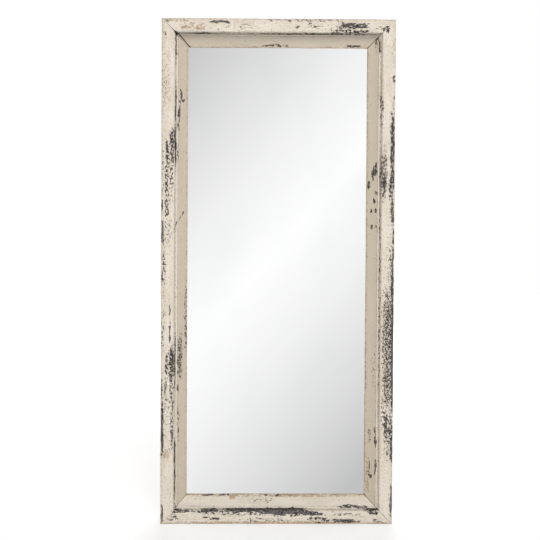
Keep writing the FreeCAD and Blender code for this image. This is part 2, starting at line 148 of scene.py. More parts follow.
class Graph:
    """The node tree of one material, or of the world.

    DOT_CORE is the solid share of a dot's radius, and LOT_EDGE how sharply its cell is drawn by lot.
    """

    DOT_CORE: ClassVar[float] = 0.6
    LOT_EDGE: ClassVar[float] = 0.01

    def __init__(self, tree: bpy.types.NodeTree) -> None:
        """Start from an empty tree."""
        self.tree = tree
        tree.nodes.clear()

    def node(
        self,
        kind: str,
        settings: dict[str, Any] | None = None,
        inputs: dict[str, Any] | None = None,
        output: str | None = None,
    ) -> Signal:
        """Add a node.

        Args:
            kind: The node's type.
            settings: Properties to set first, where "stops" holds the (place, colour) pairs of a ramp.
            inputs: Values or signals by the socket's identifier or name.
            output: The identifier or name of the wanted output, or None for the first.

        Returns:
            The wanted output, or the first input of a node without outputs.
        """
        made = self.tree.nodes.new(kind)
        for name, value in (settings or {}).items():
            if name == "stops":
                self._set_stops(made.color_ramp, value)
            else:
                setattr(made, name, value)
        for name, value in (inputs or {}).items():
            socket = self._socket(made.inputs, name)
            if isinstance(value, Signal):
                self.tree.links.new(value.socket, socket)
            else:
                socket.default_value = value
        if not made.outputs:
            return Signal(self, made.inputs[0])
        return Signal(self, self._socket(made.outputs, output) if output else made.outputs[0])

    @staticmethod
    def _socket(sockets: Sequence[bpy.types.NodeSocket], name: str) -> bpy.types.NodeSocket:
        """Find a socket by its identifier, or else by its name."""
        by_identifier = [socket for socket in sockets if socket.identifier == name]
        return (by_identifier or [socket for socket in sockets if socket.name == name])[0]

    @staticmethod
    def _set_stops(ramp: bpy.types.ColorRamp, stops: Sequence[tuple[float, Colour]]) -> None:
        """Give a ramp its stops.

        Args:
            ramp: The ramp.
            stops: Places with their colours, in rising order.
        """
        while len(ramp.elements) < len(stops):
            ramp.elements.new(1.0)
        for element, (place, colour) in zip(ramp.elements, stops):
            element.position = place
            element.color = colour

    def maths(self, operation: str, *values: Value) -> Signal:
        """Add a Math node for one step of arithmetic."""
        inputs = dict(zip(("Value", "Value_001"), values))
        return self.node("ShaderNodeMath", {"operation": operation}, inputs)

    def mix(self, factor: Value, first: Tint, second: Tint) -> Signal:
        """Blend two colours, with the second at factor 1."""
        inputs = {"Factor_Float": factor, "A_Color": first, "B_Color": second}
        return self.node("ShaderNodeMix", {"data_type": "RGBA"}, inputs, "Result_Color")

    def coats(self, base: Tint, *coats: tuple[Value, Tint]) -> Signal:
        """Lay coats of colour over a base.

        Args:
            base: The colour underneath.
            coats: How far each coat covers, with its colour, from the lowest up.

        Returns:
            The colour on top.
        """
        for factor, tint in coats:
            base = self.mix(factor, base, tint)
        return base

    def blend(self, factor: Value, first: Signal, second: Signal) -> Signal:
        """Blend two shaders, with the second at factor 1."""
        inputs = {"Fac": factor, "Shader": first, "Shader_001": second}
        return self.node("ShaderNodeMixShader", {}, inputs)

    def stretched(self, place: Signal, scales: Place) -> Signal:
        """Scale a place by its own factor along each axis."""
        inputs = {"Vector": place, "Vector_001": scales}
        return self.node("ShaderNodeVectorMath", {"operation": "MULTIPLY"}, inputs, "Vector")

    def noise(self, place: Signal, grain: Grain) -> Signal:
        """Cloudy noise about its middle.

        Args:
            place: Where on the surface, in metres.
            grain: The kind of noise.

        Returns:
            The noise.
        """
        inputs = {"Vector": self.stretched(place, grain.scales), "Scale": 1.0}
        inputs |= {"Detail": grain.detail, "Roughness": grain.roughness}
        return self.node("ShaderNodeTexNoise", {}, inputs, "Fac")

    def dots(self, place: Signal, scales: Place, radius: float, kept: float) -> Signal:
        """Scattered dots.

        Args:
            place: Where on the surface, in metres.
            scales: Cells per metre along each axis.
            radius: Radius of a dot in cells.
            kept: Share of the cells that have a dot.

        Returns:
            1 inside a dot and 0 outside.
        """
        inputs = {"Vector": self.stretched(place, scales), "Scale": 1.0}
        distance = self.node("ShaderNodeTexVoronoi", {}, inputs, "Distance")
        lot = self.node("ShaderNodeTexVoronoi", {}, inputs, "Color")
        share = self.node("ShaderNodeSeparateColor", {}, {"Color": lot}, "Red")
        chosen = share.below(kept - self.LOT_EDGE, kept + self.LOT_EDGE)
        return distance.below(self.DOT_CORE * radius, radius) * chosen

    def carried(self, name: str, output: str = "Fac") -> Signal:
        """A value, or with the output Vector a place, that the mesh carries under a name."""
        return self.node("ShaderNodeAttribute", {"attribute_name": name}, {}, output)

    def place(self) -> Signal:
        """Where on the object, in metres."""
        return self.node("ShaderNodeTexCoord", {}, {}, "Object")

    def parts(self, vector: Signal) -> tuple[Signal, ...]:
        """Split a vector into its three values."""
        return tuple(self.node("ShaderNodeSeparateXYZ", {}, {"Vector": vector}, axis) for axis in "XYZ")

    def bump(self, height: Signal, strength: float, distance: float) -> Signal:
        """Turn a height into a normal."""
        inputs = {"Height": height, "Strength": strength, "Distance": distance}
        return self.node("ShaderNodeBump", {}, inputs, "Normal")

    def seen(self) -> Signal:
        """Tell what is looked at from what only lights the scene.

        Returns:
            1 for rays from the camera and for what mirrors and glass show, and 0 for light.
        """
        kinds = ("Is Camera Ray", "Is Glossy Ray", "Is Transmission Ray")
        camera, glossy, through = (self.node("ShaderNodeLightPath", {}, {}, kind) for kind in kinds)
        return camera.most(glossy).most(through)

    def surface(self, shader: Signal) -> None:
        """Send a shader to the output."""
        self.node("ShaderNodeOutputMaterial", {}, {"Surface": shader})


def new_material(name: str) -> tuple[bpy.types.Material, Graph]:
    """Start a material.

    Args:
        name: Its name.

    Returns:
        The material and its empty tree.
    """
    material = bpy.data.materials.new(name)
    material.use_nodes = True
    return material, Graph(material.node_tree)


def add_object(name: str, data: bpy.types.ID) -> bpy.types.Object:
    """Put a new object into the scene.

    Args:
        name: Its name.
        data: Its mesh, lamp or camera.

    Returns:
        The new object.
    """
    made = bpy.data.objects.new(name, data)
    bpy.context.scene.collection.objects.link(made)
    return made


def add_mesh(name: str, vertices: Sequence, faces: Sequence, finish: bpy.types.Material) -> bpy.types.Object:
    """Put a new mesh into the scene.

    Args:
        name: Name of the object and its mesh.
        vertices: Places in metres.
        faces: Numbers of the vertices round each face.
        finish: Its material.

    Returns:
        The new object.
    """
    mesh = bpy.data.meshes.new(name)
    mesh.from_pydata(vertices, [], faces)
    mesh.materials.append(finish)
    mesh.shade_smooth()
    return add_object(name, mesh)


class Finish:
    """A surface finish that turns into one material."""

    name: str

    def inputs(self, graph: Graph) -> dict[str, Any]:
        """The values and signals of the surface shader, by socket."""
        raise NotImplementedError

    def material(self) -> bpy.types.Material:
        """Build the material.

        Returns:
            The material.
        """
        material, graph = new_material(self.name)
        graph.surface(graph.node("ShaderNodeBsdfPrincipled", {}, self.inputs(graph)))
        return material


@dataclass(frozen=True)
class DistressedPaint(Finish):
    """Chalky cream paint, scraped to a charcoal undercoat and rubbed to bare timber at the arrises. It also
    carries painted shade in the groove, behind the bead and on the bevels, and a painted highlight on the
    crown of the bead.

    An edge is the band over which a layer sets in, ragged says how far noise frays that edge, and strength
    how far the layer's colour covers.
    """

    name: str = "distressed_paint"

    # Colours
    cream: Colour = srgb(223, 214, 200)
    cream_pale: Colour = srgb(232, 224, 212)
    cream_warm: Colour = srgb(204, 191, 171)
    wash: Colour = srgb(196, 176, 148)
    fleck: Colour = srgb(168, 150, 126)
    taupe: Colour = srgb(146, 134, 119)
    charcoal: Colour = srgb(44, 41, 41)
    charcoal_worn: Colour = srgb(84, 78, 74)
    charcoal_smooth: Colour = srgb(112, 109, 107)
    black: Colour = srgb(34, 32, 32)
    tan: Colour = srgb(192, 166, 132)
    umber: Colour = srgb(140, 112, 84)
    umber_dark: Colour = srgb(92, 78, 64)
    scour: Colour = srgb(74, 66, 60)
    # Dirt and painted shade for the groove and the corner behind the bead
    dirt_and_shade: Colour = srgb(98, 86, 74)
    # Painted shade: the dark brown laid on the bevels beside the bead, most on the downward-facing top rail
    bevel_shade: Colour = srgb(58, 50, 40)
    pine: Colour = srgb(198, 170, 130)
    pine_dark: Colour = srgb(158, 126, 88)

    # Noise along and round the moulding
    fleck_grain: Grain = Grain((160, 240, 1), 4.0, 0.64)
    blot_grain: Grain = Grain((60, 150, 1), 2.0)
    brush_grain: Grain = Grain((22, 900, 1))
    cloud_grain: Grain = Grain((13, 34, 1))
    mottle_grain: Grain = Grain((170, 230, 5), 3.0, 0.65)
    stipple_grain: Grain = Grain((230, 300, 9), 2.0, 0.6)
    grit_grain: Grain = Grain((240, 340, 3), 3.0, 0.6)
    timber_grain: Grain = Grain((7, 620, 1), 4.0, 0.6)
    nick_cells: Place = (80, 110, 1)
    nick_radius: float = 0.15
    nick_share: float = 0.3
    fleck_share: float = 0.82

    # Where each layer sets in
    trace: Band = (0.02, 0.12)
    scrape_ragged: float = 5.0
    scrape_edge: Band = (0.6, 0.72)
    spared_grit: Band = (0.58, 0.65)
    spared_bite: Band = (0.9, 1.3)
    halo_edge: Band = (0.3, 0.6)
    halo_trace: Band = (0.05, 0.3)
    scour_ragged: float = 5.0
    scour_edge: Band = (0.6, 0.85)
    bruise_edge: Band = (0.1, 0.9)
    rub_ragged: float = 3.4
    rub_edge: Band = (0.44, 0.66)
    dirt_and_shade_ragged: float = 1.4
    dirt_and_shade_edge: Band = (0.28, 0.8)
    speck_edge: Band = (0.54, 0.64)
    joint_edge: Band = (0.35, 0.85)
    bare_ragged: float = 0.5
    bare_edge: Band = (0.45, 0.55)
    cloud_edge: Band = (0.36, 0.64)
    # Where the painted highlight on the crown of the bead sets in
    highlight_edge: Band = (-0.3, 0.0)
    wash_edge: Band = (0.34, 0.62)
    brush_edge: Band = (0.46, 0.68)
    charcoal_edge: Band = (0.6, 0.85)
    smooth_bite: Band = (0.95, 1.5)
    smooth_stipple: Band = (0.32, 0.56)
    timber_edge: Band = (0.35, 0.65)
    pine_edge: Band = (0.36, 0.64)

    # How strong each layer is
    wash_specks: float = 0.7
    warm_least: float = 0.6
    warm_mottle: float = 0.5
    # How strong the painted highlight on the bead is
    highlight_strength: float = 0.8
    brush_strength: float = 0.45
    dirt_and_shade_strength: float = 0.8
    halo_strength: float = 0.4
    rub_strength: float = 0.8
    bruise_strength: float = 0.35
    nick_strength: float = 0.75
    bare_joint: float = 0.4

    # Relief and gloss
    brush_relief: float = 0.4
    stipple_relief: float = 1.3
    nick_relief: float = 0.8
    joint_relief: float = 1.5
    bump_strength: float = 0.4
    bump_height: float = 0.0005
    roughness: float = 0.62
    lost_roughness: float = 0.18
    specular: float = 0.3

    def inputs(self, graph: Graph) -> dict[str, Any]:
        """The paint, from the wear, painted shade and painted highlight that each length of moulding
        carries.

        Args:
            graph: The node tree of the material.

        Returns:
            The values and signals of the surface shader, by socket.
        """
        place = graph.carried("place", "Vector")
        scrape, scour, rub = (graph.carried(name) for name in ("scrape", "scour", "rub"))
        dirt_and_shade, bevel_shade, wash = (graph.carried(name) for name in ("dirt_and_shade", "bevel_shade", "wash"))
        warmth_and_light, speckle = (graph.carried(name) for name in ("warmth_and_light", "specks"))
        seam, painted = (graph.carried(name) for name in ("seam", "painted"))

        # Noise
        flecks = graph.noise(place, self.fleck_grain)
        blots = graph.noise(place, self.blot_grain)
        brush = graph.noise(place, self.brush_grain)
        clouds = graph.noise(place, self.cloud_grain)
        mottle = graph.noise(place, self.mottle_grain)
        stipple = graph.noise(place, self.stipple_grain)
        grit = graph.noise(place, self.grit_grain)
        grain = graph.noise(place, self.timber_grain)
        nicks = graph.dots(place, self.nick_cells, self.nick_radius, self.nick_share)
        ragged = flecks * self.fleck_share + blots * (1 - self.fleck_share) - NOISE_MIDDLE

        # Where each layer is gone, dirty or darkened as painted shade
        bite = scrape + ragged * self.scrape_ragged
        spared = grit.above(*self.spared_grit) * bite.above(*self.spared_bite)
        scraped = bite.above(*self.scrape_edge) * scrape.above(*self.trace) * (1 - spared)
        halo = bite.above(*self.halo_edge) * scrape.above(*self.halo_trace)
        scuff = scour + (grit - NOISE_MIDDLE) * self.scour_ragged
        scoured = scuff.above(*self.scour_edge) * scour.above(*self.trace)
        rubbed = (rub + ragged * self.rub_ragged).above(*self.rub_edge) * rub.above(*self.trace)
        # Dirt and painted shade in the groove and behind the bead
        dirtied_and_shaded = (dirt_and_shade + ragged * self.dirt_and_shade_ragged).above(*self.dirt_and_shade_edge)
        specks = stipple.above(*self.speck_edge) * (wash * self.wash_specks + speckle)
        joint = seam.below(*self.joint_edge)
        bare = (painted + ragged * self.bare_ragged).below(*self.bare_edge)
        lost = scraped.most(rubbed).most(scoured)

        # What shows where the paint is gone
        timber = graph.mix(grain.above(*self.timber_edge), self.tan, self.umber)
        pine = graph.mix(grain.above(*self.pine_edge), self.pine, self.pine_dark)
        undercoat = graph.coats(
            self.charcoal_worn,
            (bite.above(*self.charcoal_edge), self.charcoal),
            (bite.above(*self.smooth_bite) * stipple.above(*self.smooth_stipple), self.charcoal_smooth),
        )

        # Cream paint with its stains, its wear, painted shade and a painted highlight, the unpainted back
        # and the open joints
        colour = graph.coats(
            self.cream,
            (clouds.above(*self.cloud_edge), self.cream_pale),
            # A warmer, darker cream on the bevels: a tone of the paint and also painted shade, kept almost
            # off the upturned bottom bevel so that it is painted lighter
            (warmth_and_light * (mottle * self.warm_mottle + self.warm_least), self.cream_warm),
            # Painted highlight: pale cream on the crown of the bead
            (warmth_and_light.below(*self.highlight_edge) * self.highlight_strength, self.cream_pale),
            (wash * mottle.above(*self.wash_edge), self.wash),
            (brush.above(*self.brush_edge) * self.brush_strength, self.cream_warm),
            (specks, self.fleck),
            # Dirt and painted shade in the groove and behind the bead
            (dirtied_and_shaded * self.dirt_and_shade_strength, self.dirt_and_shade),
            (halo * self.halo_strength, self.taupe),
            (rubbed * self.rub_strength, timber),
            (scour.above(*self.bruise_edge) * self.bruise_strength, self.taupe),
            (scoured, self.scour),
            (scraped, undercoat),
            (nicks * self.nick_strength, self.umber_dark),
            # Painted shade: dark brown on the bevels by the bead, fading out towards the lip
            (bevel_shade, self.bevel_shade),
            (bare, pine),
            (joint * (1 - bare * self.bare_joint), self.black),
        )
        raised = (1 - lost) + brush * self.brush_relief + stipple * speckle * self.stipple_relief
        height = raised - nicks * self.nick_relief - joint * self.joint_relief
        return {
            "Base Color": colour,
            "Roughness": self.roughness + lost * self.lost_roughness,
            "Specular IOR Level": self.specular,
            "Normal": graph.bump(height, self.bump_strength, self.bump_height),
        }


@dataclass(frozen=True)
class Silvering(Finish):
    """The silvered face of the pane, with the faintest smears."""

    name: str = "silvered_glass"
    silver: Colour = (0.965, 0.968, 0.968, 1.0)
    tarnish: Colour = (0.93, 0.935, 0.94, 1.0)
    smear_grain: Grain = Grain((5, 5, 3))
    tarnish_edge: Band = (0.45, 0.75)
    dull_edge: Band = (0.4, 0.8)
    dull_roughness: float = 0.02

    def inputs(self, graph: Graph) -> dict[str, Any]:
        """The mirror finish.

        Args:
            graph: The node tree of the material.

        Returns:
            The values and signals of the surface shader, by socket.
        """
        smears = graph.noise(graph.place(), self.smear_grain)
        return {
            "Base Color": graph.mix(smears.above(*self.tarnish_edge), self.silver, self.tarnish),
            "Metallic": 1.0,
            "Roughness": smears.above(*self.dull_edge) * self.dull_roughness,
        }


@dataclass(frozen=True)
class Hardboard(Finish):
    """Brown pressed-fibre board."""

    name: str = "hardboard_finish"
    fibre: Colour = srgb(125, 94, 65)
    fibre_dark: Colour = srgb(117, 87, 59)
    fleck: Colour = srgb(158, 127, 93)
    speck: Colour = srgb(82, 59, 39)
    cloud_grain: Grain = Grain((5, 5, 9), 5.0, 0.62)
    cloud_edge: Band = (0.3, 0.7)
    strand_grain: Grain = Grain((420, 420, 230), 4.0, 0.7)
    strand_edge: Band = (0.54, 0.72)
    strand_strength: float = 0.45
    speck_grain: Grain = Grain((560, 560, 460), 2.0)
    speck_edge: Band = (0.6, 0.7)
    speck_strength: float = 0.35
    roughness: float = 0.55
    cloud_roughness: float = 0.3
    specular: float = 0.3
    bump_strength: float = 0.3
    bump_height: float = 0.0003

    def inputs(self, graph: Graph) -> dict[str, Any]:
        """The board's clouds, pale strands and dark specks.

        Args:
            graph: The node tree of the material.

        Returns:
            The values and signals of the surface shader, by socket.
        """
        place = graph.place()
        clouds = graph.noise(place, self.cloud_grain)
        strands = graph.noise(place, self.strand_grain)
        specks = graph.noise(place, self.speck_grain)
        colour = graph.coats(
            self.fibre,
            (clouds.above(*self.cloud_edge), self.fibre_dark),
            (strands.above(*self.strand_edge) * self.strand_strength, self.fleck),
            (specks.above(*self.speck_edge) * self.speck_strength, self.speck),
        )
        return {
            "Base Color": colour,
            "Roughness": self.roughness + clouds * self.cloud_roughness,
            "Specular IOR Level": self.specular,
            "Normal": graph.bump(strands, self.bump_strength, self.bump_height),
        }


@dataclass(frozen=True)
class ZincPlate(Finish):
    """Zinc-plated steel, a little dulled."""

    name: str = "zinc_plate"
    zinc: Colour = srgb(190, 191, 190)
    dull: Colour = srgb(166, 166, 163)
    spangle_grain: Grain = Grain((420, 420, 420), 2.0)
    spangle_edge: Band = (0.35, 0.7)
    streak_grain: Grain = Grain((2600, 500, 160), 2.0)
    roughness: float = 0.3
    spangle_roughness: float = 0.14
    bump_strength: float = 0.12
    bump_height: float = 0.0001

    def inputs(self, graph: Graph) -> dict[str, Any]:
        """The plating with its faint spangle and drawing lines.

        Args:
            graph: The node tree of the material.

        Returns:
            The values and signals of the surface shader, by socket.
        """
        place = graph.place()
        spangle = graph.noise(place, self.spangle_grain)
        streaks = graph.noise(place, self.streak_grain)
        return {
            "Base Color": graph.mix(spangle.above(*self.spangle_edge), self.zinc, self.dull),
            "Metallic": 1.0,
            "Roughness": self.roughness + spangle * self.spangle_roughness,
            "Normal": graph.bump(streaks, self.bump_strength, self.bump_height),
        }


@dataclass(frozen=True)
class Rubber(Finish):
    """Matt black rubber with a bloom of dust."""

    name: str = "rubber_finish"
    rubber: Colour = srgb(38, 37, 36)
    dust: Colour = srgb(84, 80, 75)
    bloom_grain: Grain = Grain((260, 260, 260), 4.0, 0.7)
    bloom_edge: Band = (0.48, 0.8)
    roughness: float = 0.7
    bloom_roughness: float = 0.2
    bump_strength: float = 0.2
    bump_height: float = 0.0002

    def inputs(self, graph: Graph) -> dict[str, Any]:
        """The rubber and its bloom.

        Args:
            graph: The node tree of the material.

        Returns:
            The values and signals of the surface shader, by socket.
        """
        bloom = graph.noise(graph.place(), self.bloom_grain)
        return {
            "Base Color": graph.mix(bloom.above(*self.bloom_edge), self.rubber, self.dust),
            "Roughness": self.roughness + bloom * self.bloom_roughness,
            "Normal": graph.bump(bloom, self.bump_strength, self.bump_height),
        }


class Side(Enum):
    """The four lengths of moulding, by the CAD node that each one stands for."""

    TOP = "top_rail"
    BOTTOM = "bottom_rail"
    LEFT = "left_stile"
    RIGHT = "right_stile"

    @property
    def upright(self) -> bool:
        """Whether the length runs up the frame."""
        return self in (Side.LEFT, Side.RIGHT)


class Layer(Enum):
    """Layers of wandering noise: size along and across in millimetres, and a seed of its own."""

    RIPPLE = (55, 16, 0)
    SIDE_KNOCKS = (34, 15, 20)
    ARRIS_RUB = (26, 30, 40)
    LIP_RUB = (21, 30, 60)
    PITS = (6, 3, 80)
    ARRIS_KNOCKS = (13, 40, 100)
    ARRIS_WANDER = (70, 90, 120)
    LIP_WANDER = (38, 90, 140)
    WASH = (70, 25, 160)
    DRIFT = (45, 12, 180)
    STRAY_ALONG = (14, 6, 200)
    STRAY_ACROSS = (10, 5, 220)


def value_noise(first: Array, second: Array, seed: int) -> Array:
    """Smooth repeatable noise from 0 to 1 on a lattice of whole numbers.

    Args:
        first: Places along the first axis, in lattice steps.
        second: Places along the second axis, in lattice steps.
        seed: Picks the pattern.

    Returns:
        The noise at each place.
    """
    cells = 64
    table = np.random.default_rng(seed).random((cells, cells))
    column = np.floor(first).astype(int)
    row = np.floor(second).astype(int)
    across = smooth_step(first - column)
    up = smooth_step(second - row)
    corners = [[table[(column + i) % cells, (row + j) % cells] for i in (0, 1)] for j in (0, 1)]
    low, high = ((1 - across) * left + across * right for left, right in corners)
    return low * (1 - up) + high * up


def smooth_step(share: Array) -> Array:
    """Ease a share from 0 to 1, and hold it there."""
    held = np.clip(share, 0, 1)
    return held * held * (3 - 2 * held)


def bell(distance: Array, reach: float) -> Array:
    """Fall from 1 in the middle to almost nothing at twice the reach."""
    return np.exp(-((distance / reach) ** 2))


@dataclass(frozen=True)
class Scrape:
    """One worn patch, in millimetres.

    along runs from the left end of a rail or the top end of a stile, across from its outer edge. density is
    the share of the paint that is gone in the middle, and lean moves the patch along for each one across.
    A patch is gone at GONE times its half size, after fading over FADE of it.
    """

    GONE: ClassVar[float] = 1.3
    FADE: ClassVar[float] = 0.7

    along: float
    across: float
    length: float
    width: float
    density: float
    lean: float = 0.0

    def cover(self, along: Array, across: Array) -> Array:
        """How much of this patch lies on each place.

        Args:
            along: Places along the length.
            across: Places across it.

        Returns:
            The density of the patch there.
        """
        aside = across - self.across
        run = (along - self.along - self.lean * aside) / (self.length / 2)
        reach = np.cbrt(np.abs(run) ** 3 + np.abs(aside / (self.width / 2)) ** 3)
        return self.density * smooth_step((self.GONE - reach) / self.FADE)


@dataclass(frozen=True)
class Mitre:
    """One end of a length, in millimetres.

    face and bevel are how far the joint gapes on the flat face and on the bevel. shift moves the dark line
    along the bevel, past a sliver of the neighbour, and hole is the reach of the gap where the grooves meet.
    """

    face: float
    bevel: float
    shift: float = 0.0
    hole: float = 0.0


@dataclass(frozen=True)
class Wear:
    """The wear of one length of moulding: scraped, scoured and rubbed patches, dirt, painted shade and its
    two mitres.
    """

    scrapes: tuple[Scrape, ...]
    scours: tuple[Scrape, ...]
    smears: tuple[Scrape, ...]
    arris_rub: float
    lip_rub: float
    edge_wash: float
    # How strong the painted shade on the bevel beside the bead is
    bevel_shade_strength: float
    # How dark the groove is, as dirt and as painted shade
    groove_dirt_and_shade: float
    # How far the bevel is warmed and darkened, as a tone of the paint and as painted shade
    bevel_tint_and_shade: float
    start: Mitre
    end: Mitre


